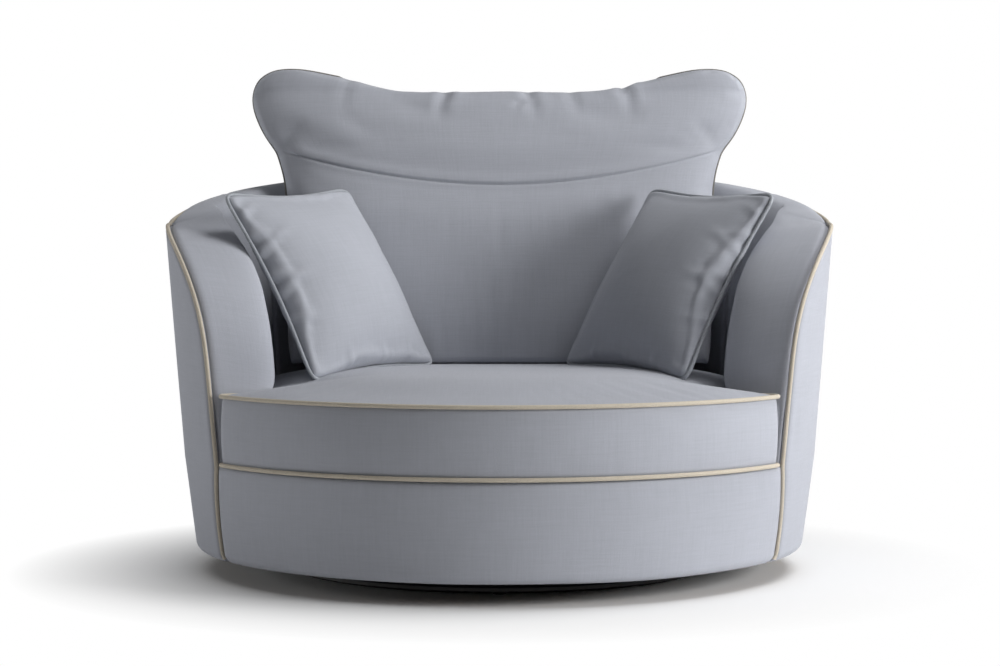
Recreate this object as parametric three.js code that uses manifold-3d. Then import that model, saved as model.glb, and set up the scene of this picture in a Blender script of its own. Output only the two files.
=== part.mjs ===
// Round swivel cuddle chair: padded tub on a ring base, with loose seat, back and scatter cushions.
// Millimetres, +Z up. The origin is on the floor on the swivel axis, and the chair faces -Y.
import * as THREE from 'three';
import { mergeVertices } from 'three/addons/utils/BufferGeometryUtils.js';
import Module from 'manifold-3d';

const wasm = await Module();
wasm.setup();

// Driving dimensions

const clearance = { touching: 0.3, loose: 0.6, facets: 1 };

// The tub's radius at the rim, and how much less it is lower down and towards the back
const shell = {
  rimRadius: 650,
  seatTaper: 34,
  footTaper: 56,
  underTaper: 74,
  backFlat: 22,
  underside: 42,
  footZ: 60,
  rimFrontZ: 678,
  rimBackZ: 788,
  footSet: 31,
  seatZ: 226,
  cornerStartZ: 380,
  panelThickness: 14,
};

// Angles from the front, in degrees
const angles = {
  armEdgeAngle: 60.814,
  seatCornerAngle: 56.5,
  deckCornerAngle: 56.615,
  backSeatAngle: 53.57,
  backRimAngle: 57.4,
  backEarAngle: 80,
  backTipAngle: 65.1,
  rimLevel: 90,
  split: 117,
  post: 72,
  backRibAngle: 153,
  frontStud: 22,
  seatRear: 138,
  step: 9,
  borderStep: 11,
};

const pad = {
  bottomZ: 200.3,
  baseInset: 145,
  shoulderInset: 123,
  hiddenInset: 88.3,
  rollWidth: 78,
  rollHeight: 150,
  topDrop: 2,
  edgeDrop: 4,
  foam: 42,
  lobeDepth: 62,
};

const trim = { radius: 3.6, gap: 0.6 };
const cordSides = 6;

const rail = { innerInset: 64.7, topDrop: 28.4, bottomDrop: 58, chamfer: 24, startAngle: 70 };

const frame = {
  boardZ: 51.4,
  boardThickness: 18,
  boardGap: 3,
  ringBottom: 160,
  ringTop: 200,
  ringInset: 180,
  ribGap: 1.6,
  ribTopGap: 0.5,
  ribThickness: 22,
};

const webbing = { width: 50, thickness: 2.4, spread: 190, crossSpread: 150, frontInset: 105, padGap: 8 };

const deck = { thickness: 18, frontInset: 22, sideGap: 6, cornerRound: 8, armGap: 5 };

const border = { topZ: 224, endGap: 8.2 };

const dust = { thickness: 1.5, inner: 232, edgeInset: 19 };

const ringBase = { outer: 416, width: 28, bottomZ: 3, height: 12, chamfer: 3 };

const bar = { width: 34, height: 8, endGap: 2 };

const hub = { radius: 160, thickness: 4, hole: 40 };

const glide = { radius: 13, height: 2.7, footRadius: 11 };

const bearing = {
  outer: 150,
  inner: 112,
  raceHeight: 10.5,
  ballRun: 131,
  ballRadius: 4.5,
  ballRise: 2.4,
  ballGap: 0.3,
  cageThickness: 1.6,
  cageHalf: 11,
};
const ballCount = 10;

// Corners round a race: six to each ball, so that the balls run in its grooves without touching.
const raceSteps = 6 * ballCount;

const topPlate = { side: 300, thickness: 5.4, hole: 40, boltInset: 28, boltHole: 4.4 };

const bolt = { radius: 4, length: 15, headRadius: 7.5, headHeight: 3, holeDepth: 12 };

const seat = {
  frontInset: 2,
  sideGap: 9,
  cornerRound: 8,
  armGap: 10,
  topEdge: 357,
  crown: 42,
  crownReach: 260,
  bulge: 4,
  wall: 3,
  coreGap: 2.4,
};

const back = {
  topZ: 948,
  earRise: 50,
  earRound: 14,
  seamZ: 757,
  seamRise: 75,
  seamDepth: 16,
  seatThickness: 364,
  headThickness: 168,
  frontCrown: 50,
  headCrown: 36,
  seatSide: 104,
  rimSide: 50,
  headSide: 64,
  rearCrown: 222,
  headRearCrown: 60,
  sideBulge: 4,
  settle: 1,
  wallGap: 7,
  wall: 3,
};

const scatter = {
  halfWidth: 198,
  halfHeight: 192,
  loft: 66,
  edge: 3,
  drawIn: 14,
  wall: 1.6,
  wallGap: 196,
  backGap: 165.5,
  rise: 206.9,
};
const scatterAngles = { turn: 54.6, lean: 59.3, roll: 2.2 };

const degree = Math.PI / 180;

// How far the flat between two corners of a round piece lies inside its radius, and room for it
const facetSag = shell.rimRadius * (1 - Math.cos((angles.borderStep * degree) / 2));
const facetRoom = facetSag + clearance.facets;

// Radii of the tub and of what fits in it
const seatLineRadius = shell.rimRadius - shell.seatTaper;
const footRadius = shell.rimRadius - shell.footTaper;
const underRadius = shell.rimRadius - shell.underTaper;
const backDepth = shell.rimRadius - shell.backFlat;
const padBaseRadius = shell.rimRadius - pad.baseInset;
const padShoulderRadius = shell.rimRadius - pad.shoulderInset;
const padHiddenRadius = shell.rimRadius - pad.hiddenInset;
const railInner = shell.rimRadius - rail.innerInset;
const boardRadius = footRadius - shell.panelThickness - frame.boardGap - 2 * facetSag;
const ringInnerRadius = shell.rimRadius - frame.ringInset;
const ribInner = padHiddenRadius + clearance.touching;
const armDepth = shell.rimRadius * Math.cos(angles.armEdgeAngle * degree);
const footDepth = armDepth - shell.footSet;
const backHalf = {
  seat: padShoulderRadius * Math.sin(angles.backSeatAngle * degree),
  rim: padShoulderRadius * Math.sin(angles.backRimAngle * degree),
  ear: padShoulderRadius * Math.sin(angles.backEarAngle * degree),
  tip: padShoulderRadius * Math.sin(angles.backTipAngle * degree),
};

// The plan of the platform pad and of the seat cushion: a wide front, narrower between the arms
function seatSizes({ frontInset, sideGap, cornerRound, armGap }, corner) {
  const frontRadius = seatLineRadius - frontInset;
  return {
    frontRadius,
    sideRadius: padBaseRadius - sideGap,
    cornerHalf: frontRadius * Math.sin(corner * degree),
    cornerRound,
    returnDepth: armDepth + armGap,
  };
}

// Where the back cushion's front edge lies, low down and at the top
const backSquash = backDepth / shell.rimRadius;
const wallDepth = padShoulderRadius * backSquash;
const backFrontY = wallDepth - back.seatThickness;
const backHeadY = wallDepth - back.headThickness;

// Points nearer than this count as one.
const mergeReach = 1e-3;

// The cushions' heights follow from what carries them.
const seatBottomZ = shell.seatZ + trim.radius + clearance.touching;
const backBottomZ = seat.topEdge + seat.crown + back.sideBulge + clearance.touching - back.settle;

// Colours and surfaces

const cloth = { color: 0x9ba3ae, roughness: 0.92, metalness: 0 };
const scatterCloth = { color: 0xa3aab3, roughness: 0.92, metalness: 0 };
const cord = { color: 0xc9bfab, roughness: 0.85, metalness: 0 };
const foam = { color: 0xe8dfc4, roughness: 0.95, metalness: 0 };
const timber = { color: 0xb98d5c, roughness: 0.7, metalness: 0 };
const strap = { color: 0x3a3632, roughness: 0.9, metalness: 0 };
const blackCloth = { color: 0x161616, roughness: 0.95, metalness: 0 };
const blackSteel = { color: 0x111112, roughness: 0.5, metalness: 0.6 };
const zinc = { color: 0xa9adb0, roughness: 0.4, metalness: 0.9 };
const blackPlastic = { color: 0x1b1b1c, roughness: 0.6, metalness: 0 };

const chair = new THREE.Group();

function place(name, geometry, surface, parent = chair) {
  const mesh = new THREE.Mesh(geometry, new THREE.MeshStandardMaterial(surface));
  mesh.name = name;
  parent.add(mesh);
  return mesh;
}

function share(value, low, high) {
  return THREE.MathUtils.clamp((value - low) / (high - low), 0, 1);
}

// Closed bodies from grids of points

// Joins corner points by place, drops collapsed triangles and turns the faces outward.
function closedGeometry(points, triangles) {
  const rough = new THREE.BufferGeometry();
  rough.setAttribute('position', new THREE.Float32BufferAttribute(points.flatMap((p) => p.toArray()), 3));
  rough.setIndex(triangles.flat());
  const merged = mergeVertices(rough, mergeReach);
  const at = merged.attributes.position;
  const corner = [0, 1, 2].map(() => new THREE.Vector3());
  const kept = [];
  let volume = 0;
  for (let i = 0; i < merged.index.count; i += 3) {
    const ids = [0, 1, 2].map((k) => merged.index.getX(i + k));
    if (new Set(ids).size < 3) continue;
    ids.forEach((id, k) => corner[k].fromBufferAttribute(at, id));
    volume += corner[0].dot(corner[1].clone().cross(corner[2]));
    kept.push(ids);
  }
  merged.setIndex(kept.flatMap(([a, b, c]) => (volume < 0 ? [a, c, b] : [a, b, c])));
  merged.computeVertexNormals();
  return merged;
}

// A thick sheet between two grids of points; both have the same rows and columns.
function sheetBody(front, reverse, closed = false) {
  const rows = front.length;
  const columns = front[0].length;
  const offset = rows * columns;
  const points = [...front.flat(), ...reverse.flat()];
  const id = (i, j) => (i % rows) * columns + j;
  const triangles = [];
  const quad = (a, b, c, d) => triangles.push([a, b, c], [a, c, d]);
  const lastRow = closed ? rows : rows - 1;
  for (let i = 0; i < lastRow; i += 1) {
    for (let j = 0; j < columns - 1; j += 1) {
      quad(id(i, j), id(i + 1, j), id(i + 1, j + 1), id(i, j + 1));
      quad(offset + id(i, j), offset + id(i, j + 1), offset + id(i + 1, j + 1), offset + id(i + 1, j));
    }
    quad(id(i, 0), offset + id(i, 0), offset + id(i + 1, 0), id(i + 1, 0));
    const j = columns - 1;
    quad(id(i, j), id(i + 1, j), offset + id(i + 1, j), offset + id(i, j));
  }
  for (let j = 0; j < columns - 1 && !closed; j += 1) {
    quad(id(0, j), id(0, j + 1), offset + id(0, j + 1), offset + id(0, j));
    const i = rows - 1;
    quad(id(i, j), offset + id(i, j), offset + id(i, j + 1), id(i, j + 1));
  }
  return closedGeometry(points, triangles);
}

function tangentsOf(points, closed) {
  const count = points.length;
  return points.map((p, i) => {
    const before = closed ? points[(i + count - 1) % count] : points[Math.max(i - 1, 0)];
    const after = closed ? points[(i + 1) % count] : points[Math.min(i + 1, count - 1)];
    return after.clone().sub(before).normalize();
  });
}

// A round cord laid through the points, one ring of corners at each.
function cordBody(points, radius, sides, closed) {
  const tangents = tangentsOf(points, closed);
  let side = new THREE.Vector3(0, 0, 1).cross(tangents[0]);
  if (side.length() < 0.1) side = new THREE.Vector3(0, 1, 0).cross(tangents[0]);
  const rings = points.map((p, i) => {
    side = side.clone().addScaledVector(tangents[i], -side.dot(tangents[i])).normalize();
    const up = tangents[i].clone().cross(side);
    return Array.from({ length: sides }, (_, k) => {
      const angle = (2 * Math.PI * (k + 0.5)) / sides;
      const [right, rise] = [radius * Math.cos(angle), radius * Math.sin(angle)];
      return p.clone().addScaledVector(side, right).addScaledVector(up, rise);
    });
  });
  const triangles = [];
  const count = points.length;
  const id = (i, k) => (i % count) * sides + (k % sides);
  for (let i = 0; i < (closed ? count : count - 1); i += 1) {
    for (let k = 0; k < sides; k += 1) {
      triangles.push([id(i, k), id(i + 1, k), id(i + 1, k + 1)], [id(i, k), id(i + 1, k + 1), id(i, k + 1)]);
    }
  }
  for (let k = 1; k < sides - 1 && !closed; k += 1) {
    triangles.push([id(0, 0), id(0, k), id(0, k + 1)]);
    triangles.push([id(count - 1, 0), id(count - 1, k + 1), id(count - 1, k)]);
  }
  return closedGeometry(rings.flat(), triangles);
}

// The skin of a cushion: a face sheet and a reverse sheet joined round the rim by rings.
function cushionSkin({ columns, rows, face, reverse, rings, bulge }) {
  const points = [];
  const quads = [];
  const sheet = (make) => {
    const start = points.length;
    for (let j = 0; j <= rows; j += 1) {
      for (let i = 0; i <= columns; i += 1) points.push(make(i, j));
    }
    return (i, j) => start + j * (columns + 1) + i;
  };
  const faceId = sheet(face);
  const reverseId = sheet(reverse);
  for (let j = 0; j < rows; j += 1) {
    for (let i = 0; i < columns; i += 1) {
      quads.push([faceId(i, j), faceId(i + 1, j), faceId(i + 1, j + 1), faceId(i, j + 1)]);
      quads.push([reverseId(i, j), reverseId(i, j + 1), reverseId(i + 1, j + 1), reverseId(i + 1, j)]);
    }
  }
  const walk = [];
  for (let i = 0; i < columns; i += 1) walk.push([i, 0]);
  for (let j = 0; j < rows; j += 1) walk.push([columns, j]);
  for (let i = columns; i > 0; i -= 1) walk.push([i, rows]);
  for (let j = rows; j > 0; j -= 1) walk.push([0, j]);
  const faceRim = walk.map(([i, j]) => faceId(i, j));
  const reverseRim = walk.map(([i, j]) => reverseId(i, j));
  const outward = rimOutward(faceRim.map((k) => points[k]), reverseRim.map((k) => points[k]));
  const bands = [faceRim];
  for (const s of rings) {
    bands.push(walk.map((_, k) => {
      const p = points[faceRim[k]].clone().lerp(points[reverseRim[k]], s);
      points.push(p.addScaledVector(outward[k], bulge * 4 * s * (1 - s)));
      return points.length - 1;
    }));
  }
  bands.push(reverseRim);
  const rimQuads = [];
  for (let b = 0; b < bands.length - 1; b += 1) {
    const row = walk.map((_, k) => {
      const next = (k + 1) % walk.length;
      return [bands[b][next], bands[b][k], bands[b + 1][k], bands[b + 1][next]];
    });
    rimQuads.push(row);
    quads.push(...row);
  }
  return { points, quads, rimQuads, faceRim, reverseRim, outward, columns, rows };
}

// The outward direction at each rim point, square to the rim and to the depth of the cushion.
function rimOutward(faceRim, reverseRim) {
  const tangents = tangentsOf(faceRim, true);
  return faceRim.map((p, k) => {
    const depth = reverseRim[k].clone().sub(p).normalize();
    return depth.cross(tangents[k]).normalize();
  });
}

function vertexNormals(points, quads) {
  const sums = points.map(() => new THREE.Vector3());
  const faces = points.map(() => []);
  for (const q of quads) {
    const across = points[q[2]].clone().sub(points[q[0]]);
    const normal = across.cross(points[q[3]].clone().sub(points[q[1]])).normalize();
    for (const k of q) {
      sums[k].add(normal);
      faces[k].push(normal);
    }
  }
  return sums.map((sum, k) => {
    const normal = sum.normalize();
    const least = Math.min(...faces[k].map((f) => f.dot(normal)));
    return normal.multiplyScalar(1 / Math.max(least, 0.5));
  });
}

function skinGeometry(points, quads) {
  return closedGeometry(points, quads.flatMap(([a, b, c, d]) => [[a, b, c], [a, c, d]]));
}

// The points of a skin moved inward by a wall's thickness.
function insetPoints(skin, inset) {
  const normals = vertexNormals(skin.points, skin.quads);
  const volume = skin.quads.reduce((sum, [a, b, c, d]) => {
    const p = skin.points;
    const first = p[a].dot(p[b].clone().cross(p[c]));
    return sum + first + p[a].dot(p[c].clone().cross(p[d]));
  }, 0);
  const sign = volume > 0 ? -inset : inset;
  return skin.points.map((p, k) => p.clone().addScaledVector(normals[k], sign));
}

function fillingBody(skin, inset) {
  return skinGeometry(insetPoints(skin, inset), skin.quads);
}

// A cover with a wall, left open along the zip, so inside and outside are one surface.
function coverBody(skin, wall, openQuads) {
  const inner = insetPoints(skin, wall);
  const offset = skin.points.length;
  const open = new Set(openQuads);
  const kept = skin.quads.filter((q) => !open.has(q));
  const reversed = kept.map(([a, b, c, d]) => [offset + a, offset + d, offset + c, offset + b]);
  const edges = new Map();
  for (const q of kept) q.forEach((a, k) => edges.set(`${a} ${q[(k + 1) % 4]}`, [a, q[(k + 1) % 4]]));
  const sides = [];
  for (const q of openQuads) {
    q.forEach((a, k) => {
      const b = q[(k + 1) % 4];
      if (edges.has(`${b} ${a}`)) sides.push([a, b, offset + b, offset + a]);
    });
  }
  return skinGeometry([...skin.points, ...inner], [...kept, ...reversed, ...sides]);
}

// The zip strip that fills a cover's opening, with a gap all round.
function zipBody(skin, wall, openQuads, gap) {
  const inner = insetPoints(skin, wall);
  const columnsOf = (points) => {
    const line = openQuads.map((q) => [points[q[1]], points[q[2]]]);
    const last = openQuads[openQuads.length - 1];
    line.push([points[last[0]], points[last[3]]]);
    return line;
  };
  const shrink = (line) => line.map(([upper, lower], k) => {
    const height = upper.distanceTo(lower);
    const pair = [upper.clone().lerp(lower, gap / height), lower.clone().lerp(upper, gap / height)];
    const next = k === 0 ? line[1] : line[line.length - 2];
    if (k > 0 && k < line.length - 1) return pair;
    return pair.map((p, e) => p.lerp(next[e], gap / p.distanceTo(next[e])));
  });
  return sheetBody(shrink(columnsOf(skin.points)), shrink(columnsOf(inner)));
}

// The cord sewn round a rim: its middle runs a reach outside the rim's corner points.
function rimCord(skin, rim, reach = trim.radius + trim.gap) {
  const points = rim.map((k) => skin.points[k]);
  const tangents = tangentsOf(points, true);
  return points.map((p, k) => {
    const next = points[(k + 1) % points.length].clone().sub(p).normalize();
    const turn = Math.max(next.dot(tangents[k]), 0.6);
    return p.clone().addScaledVector(skin.outward[k], reach / turn);
  });
}

// The tub's plan and heights

// A point of the round plan. The rear half is drawn in a little to the tub's depth.
function planPoint(radius, angle, z) {
  const y = -radius * Math.cos(angle);
  const squash = y > 0 ? backSquash : 1;
  return new THREE.Vector3(radius * Math.sin(angle), y * squash, z);
}

function outerRadius(z) {
  if (z < shell.seatZ) return lerp(footRadius, seatLineRadius, share(z, shell.footZ, shell.seatZ));
  const rise = (z - shell.seatZ) / (shell.rimFrontZ - shell.seatZ);
  return lerp(seatLineRadius, shell.rimRadius, rise);
}

// How far in front of the axis the arm's front edge lies at a height.
function frontDepth(z) {
  if (z < shell.seatZ) {
    const rise = share(z, shell.footZ, shell.seatZ);
    return footDepth + (armDepth - footDepth) * rise ** 2;
  }
  const rise = share(z, shell.cornerStartZ, shell.rimFrontZ);
  return armDepth * Math.sqrt(Math.max(1 - rise ** 3, 0));
}

function turnFromFront(angle) {
  return angle > Math.PI ? 2 * Math.PI - angle : Math.abs(angle);
}

// The rim's height at an angle: level over the arm's front, rising to the back.
function rimHeight(angle) {
  const along = share(turnFromFront(angle), angles.rimLevel * degree, Math.PI);
  return shell.rimFrontZ + (shell.rimBackZ - shell.rimFrontZ) * (1 - (1 - along) ** 2);
}

// The height of the arm's edge at an angle, which falls away round the arm's front.
function edgeHeight(angle) {
  const reach = share(shell.rimRadius * Math.cos(turnFromFront(angle)), 0, armDepth);
  const rise = Math.cbrt(1 - reach ** 2);
  return rimHeight(angle) - (shell.rimFrontZ - shell.cornerStartZ) * (1 - rise);
}

function frontAngle(radius, depth) {
  return Math.acos(THREE.MathUtils.clamp(depth / radius, -1, 1));
}

function lerp(from, to, along) {
  return from + (to - from) * along;
}

function mirrored(points) {
  return points.map((p) => new THREE.Vector3(-p.x, p.y, p.z));
}

const splitAngle = angles.split * degree;
const splitGap = clearance.touching / shell.rimRadius;
const armStationShares = [0, 0.12, 0.26, 0.42, 0.6, 0.8, 1];
const backSteps = Math.round((360 - 2 * angles.split) / angles.step);
const backStationShares = Array.from({ length: backSteps + 1 }, (_, k) => k / backSteps);

// Outer panels and front border

// The hem turns in under the frame: how far in, and how far up, at each of its points.
const hemShares = [[1, 0], [0.45, 0.08], [0.12, 0.42], [0, 1]];
const lowerWallShares = [0.5];
const armLevelShares = [0, 0.3, 0.52, 0.7, 0.84, 0.93, 0.98, 1];
const backLevelShares = [0, 0.5, 1];
const trimDrop = 2 * trim.radius + trim.gap;

// One upright line of the shell's skin from hem to rim; firstAngle may depend on radius and depth.
function shellLine(along, firstAngle, lastAngle, inset, levelShares) {
  const line = [];
  const add = (radius, depth, z) => {
    const first = firstAngle(radius, depth);
    line.push(planPoint(radius, first + along * (lastAngle - first), z));
  };
  for (const [inShare, upShare] of hemShares) {
    const radius = lerp(footRadius, underRadius, inShare) - inset * (1 - inShare / 2);
    const z = lerp(shell.underside, shell.footZ, upShare) + (inset * (1 - upShare)) / 3;
    add(radius, footDepth, z);
  }
  for (const s of lowerWallShares) {
    const z = lerp(shell.footZ, shell.seatZ, s);
    add(outerRadius(z) - inset, frontDepth(z), z);
  }
  for (const level of levelShares) {
    const nominal = lerp(shell.seatZ, shell.rimFrontZ, level);
    const first = firstAngle(outerRadius(nominal) - inset, frontDepth(nominal));
    const angle = first + along * (lastAngle - first);
    const z = lerp(shell.seatZ, rimHeight(angle), level);
    line.push(planPoint(outerRadius(z) - inset, angle, z - level * trimDrop));
  }
  return line;
}

function armPanel(side) {
  const last = splitAngle - splitGap;
  const grid = (inset) => armStationShares.map((s) => {
    const line = shellLine(s, frontAngle, last, inset, armLevelShares);
    return side > 0 ? line : mirrored(line);
  });
  return sheetBody(grid(0), grid(shell.panelThickness));
}

function backPanel() {
  const first = splitAngle + splitGap;
  const last = 2 * Math.PI - first;
  const grid = (inset) => backStationShares.map((s) => (
    shellLine(s, () => first, last, inset, backLevelShares)));
  return sheetBody(grid(0), grid(shell.panelThickness));
}

// The border closes the front between the arms, below the seat cushion.
function frontBorder() {
  const borderZs = [lerp(shell.footZ, border.topZ, 0.5), border.topZ];
  const inner = [-4, -3, -2, -1, 0, 1, 2, 3, 4].map((k) => k * angles.borderStep * degree);
  const point = (angleOf, radius, depth, z) => {
    const end = frontAngle(radius, depth + border.endGap);
    return planPoint(radius, angleOf(end), z);
  };
  const line = (angleOf, inset) => {
    const hem = hemShares.map(([inShare, upShare]) => {
      const radius = lerp(footRadius, underRadius, inShare) - inset * (1 - inShare / 2);
      const z = lerp(shell.underside, shell.footZ, upShare) + (inset * (1 - upShare)) / 3;
      return point(angleOf, radius, footDepth, z);
    });
    return [...hem, ...borderZs.map((z) => point(angleOf, outerRadius(z) - inset, frontDepth(z), z))];
  };
  const stations = [(end) => -end, ...inner.map((angle) => () => angle), (end) => end];
  const grid = (inset) => stations.map((angleOf) => line(angleOf, inset));
  return sheetBody(grid(0), grid(shell.panelThickness));
}

// The piping runs up one arm's front edge, round the rim and down the other.
function rimPiping() {
  const edge = shellLine(0, frontAngle, splitAngle, trim.radius, armLevelShares);
  const top = (points) => points[points.length - 1];
  const arm = armStationShares.slice(1, -1).map((s) => (
    top(shellLine(s, frontAngle, splitAngle, trim.radius, armLevelShares))));
  const first = splitAngle;
  const rear = backStationShares.map((s) => (
    top(shellLine(s, () => first, 2 * Math.PI - first, trim.radius, backLevelShares))));
  const right = [...edge.slice(1), ...arm];
  const path = [...right, ...rear, ...mirrored(right).reverse()];
  const tangents = tangentsOf(path, false);
  const lifted = path.map((p, k) => {
    const outward = new THREE.Vector3(p.x, p.y, 0).normalize();
    const normal = outward.cross(tangents[k]).normalize();
    return p.clone().addScaledVector(normal, trim.radius + trim.gap);
  });
  return cordBody(lifted, trim.radius, cordSides, false);
}

// Pads: the foam and cloth on the inside of the arms and the back

const padEdgeInset = shell.panelThickness + facetRoom;

// Steps of a quarter turn
const quarterShares = [0, 0.25, 0.5, 0.75, 1];

// The pad's section at a rim height, as radius and height, from the seat to the rim.
function padSection(top) {
  const shoulderZ = top - pad.rollHeight;
  const crest = padShoulderRadius + pad.rollWidth;
  const rise = pad.rollHeight - pad.topDrop;
  const roll = quarterShares.slice(1).map((turn) => {
    const t = (turn * Math.PI) / 2;
    return [crest - pad.rollWidth * Math.cos(t), shoulderZ + rise * Math.sin(t)];
  });
  return [
    [padBaseRadius, pad.bottomZ],
    [lerp(padBaseRadius, padShoulderRadius, 0.5), lerp(pad.bottomZ, shoulderZ, 0.5)],
    [padShoulderRadius, shoulderZ],
    ...roll,
    [outerRadius(top) - padEdgeInset, top - pad.edgeDrop],
  ];
}

// The pad's hidden side, which lies on the frame and over the top rail.
function padHiddenSection(top) {
  const over = top - rail.topDrop + facetRoom;
  const under = top - rail.bottomDrop;
  const nose = railInner - facetRoom;
  const shoulderZ = top - pad.rollHeight;
  const outer = outerRadius(top) - padEdgeInset;
  return [
    [padHiddenRadius, pad.bottomZ],
    [padHiddenRadius, lerp(pad.bottomZ, shoulderZ, 0.5)],
    [padHiddenRadius, shoulderZ],
    [padHiddenRadius, under - rail.chamfer],
    [nose, under],
    [nose, over],
    [lerp(nose, outer, 0.5), over],
    [outer, over],
  ];
}

const padStationShares = [0.1, 0.24, 0.4, 0.58, 0.78, 1];

// One line of the arm pad along a level: round the front lobe, then back along the arm.
function armPadRow(section, k, recess, last) {
  const [radius, z] = section(shell.rimFrontZ)[k];
  const edge = outerRadius(z) - padEdgeInset;
  const depth = frontDepth(z) - recess;
  const start = depth - pad.lobeDepth + recess;
  const row = quarterShares.map((turn) => {
    const t = (turn * Math.PI) / 2;
    const across = Math.sin(t) ** 0.8;
    const forward = Math.abs(Math.cos(t)) ** 0.7;
    const r = lerp(edge, radius, across);
    return planPoint(r, frontAngle(r, lerp(start, depth, forward)), z);
  });
  const first = frontAngle(radius, start);
  for (const s of padStationShares) {
    const angle = first + s * (last - first);
    const [r, height] = section(rimHeight(angle))[k];
    row.push(planPoint(r, angle, height));
  }
  return row;
}

function armPad(side) {
  const last = splitAngle - splitGap;
  const levels = padSection(shell.rimFrontZ).map((_, k) => k);
  const grid = (section, recess) => levels.map((k) => {
    const row = armPadRow(section, k, recess, last);
    return side > 0 ? row : mirrored(row);
  });
  return sheetBody(grid(padSection, 0), grid(padHiddenSection, pad.foam));
}

function backPad() {
  const first = splitAngle + splitGap;
  const span = 2 * (Math.PI - first);
  const grid = (section) => backStationShares.map((s) => {
    const angle = first + s * span;
    return section(rimHeight(angle)).map(([r, z]) => planPoint(r, angle, z));
  });
  return sheetBody(grid(padSection), grid(padHiddenSection));
}

// Timber frame

const ringCorners = Math.round(360 / angles.step);
const ringStations = Array.from({ length: ringCorners }, (_, k) => k * angles.step * degree);

// A flat ring or disc that follows the plan.
function planRing(inner, outer, bottomZ, topZ) {
  const grid = (z) => ringStations.map((angle) => [planPoint(inner, angle, z), planPoint(outer, angle, z)]);
  return sheetBody(grid(topZ), grid(bottomZ), true);
}

function solidOf(geometry) {
  const bare = geometry.clone();
  bare.deleteAttribute('normal');
  bare.deleteAttribute('uv');
  const merged = mergeVertices(bare, mergeReach);
  return new wasm.Manifold(new wasm.Mesh({
    numProp: 3,
    vertProperties: new Float32Array(merged.attributes.position.array),
    triVerts: new Uint32Array(merged.index.array),
  }));
}

function geometryOf(solid) {
  const mesh = solid.getMesh();
  const geometry = new THREE.BufferGeometry();
  geometry.setAttribute('position', new THREE.BufferAttribute(new Float32Array(mesh.vertProperties), 3));
  geometry.setIndex(new THREE.BufferAttribute(new Uint32Array(mesh.triVerts), 1));
  geometry.computeVertexNormals();
  return geometry;
}

const boardTop = frame.boardZ + frame.boardThickness;
const ribFoot = boardTop + clearance.touching;

// An upright rib from an outline of radius and height, standing at an angle of the plan.
function ribBody(outline, angle) {
  const along = planPoint(1, angle, 0);
  const scale = along.length();
  const shape = new THREE.Shape(outline.map(([r, z]) => new THREE.Vector2(r * scale, z)));
  const body = new THREE.ExtrudeGeometry(shape, { depth: frame.ribThickness, bevelEnabled: false });
  body.translate(0, 0, -frame.ribThickness / 2);
  body.rotateX(Math.PI / 2);
  body.rotateZ(Math.atan2(along.y, along.x));
  return body;
}

function ribOutline(topZ, chamfer, gap) {
  const inset = shell.panelThickness + gap;
  const heights = [ribFoot, ...(topZ > shell.seatZ ? [shell.seatZ] : []), topZ];
  const outer = heights.map((z) => [outerRadius(z) - inset, z]);
  const inner = [[ribInner, topZ - chamfer], [ribInner, ribFoot]];
  const nose = chamfer > 0 ? [[railInner, topZ]] : [];
  return [...outer, ...nose, ...inner];
}

function tallRib(angle, gap = frame.ribGap) {
  const halfTurn = frame.ribThickness / ribInner;
  const edge = Math.min(...[-1, 0, 1].map((k) => edgeHeight(angle + k * halfTurn)));
  return ribBody(ribOutline(edge - rail.bottomDrop - frame.ribTopGap, rail.chamfer, gap), angle);
}

function frontStud(angle) {
  const top = shell.seatZ - deck.thickness - clearance.touching;
  return ribBody(ribOutline(top, 0, frame.ribGap), angle);
}

// The top rail is a band of timber that follows the rim, on top of the ribs.
function topRail() {
  const first = rail.startAngle * degree;
  const arm = [0, 0.07, 0.14, 0.24, 0.38, 0.54, 0.77].map((s) => lerp(first, splitAngle, s));
  const rear = backStationShares.map((s) => lerp(splitAngle, 2 * Math.PI - splitAngle, s));
  const stations = [...arm, ...rear, ...arm.map((angle) => 2 * Math.PI - angle).reverse()];
  const line = (drop) => stations.map((angle) => {
    const top = edgeHeight(angle);
    const outer = outerRadius(top - rail.bottomDrop) - padEdgeInset - facetRoom;
    return [planPoint(railInner, angle, top - drop), planPoint(outer, angle, top - drop)];
  });
  return sheetBody(line(rail.topDrop), line(rail.bottomDrop));
}

const boltReach = topPlate.side / 2 - topPlate.boltInset;
const boltPlaces = [[1, 1], [-1, 1], [-1, -1], [1, -1]].map(([x, y]) => [x * boltReach, y * boltReach]);

function bottomBoard() {
  let board = solidOf(planRing(0, boardRadius, frame.boardZ, boardTop));
  for (const [x, y] of boltPlaces) {
    const drill = new THREE.CylinderGeometry(topPlate.boltHole, topPlate.boltHole, 2 * bolt.holeDepth, 12);
    drill.rotateX(Math.PI / 2);
    drill.translate(x, y, frame.boardZ);
    board = board.subtract(solidOf(drill));
  }
  return geometryOf(board);
}

// Seat suspension and platform

// How far back the front three rows of a seat plan lie.
const frontRowShares = [0, 0.04, 0.16];

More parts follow.
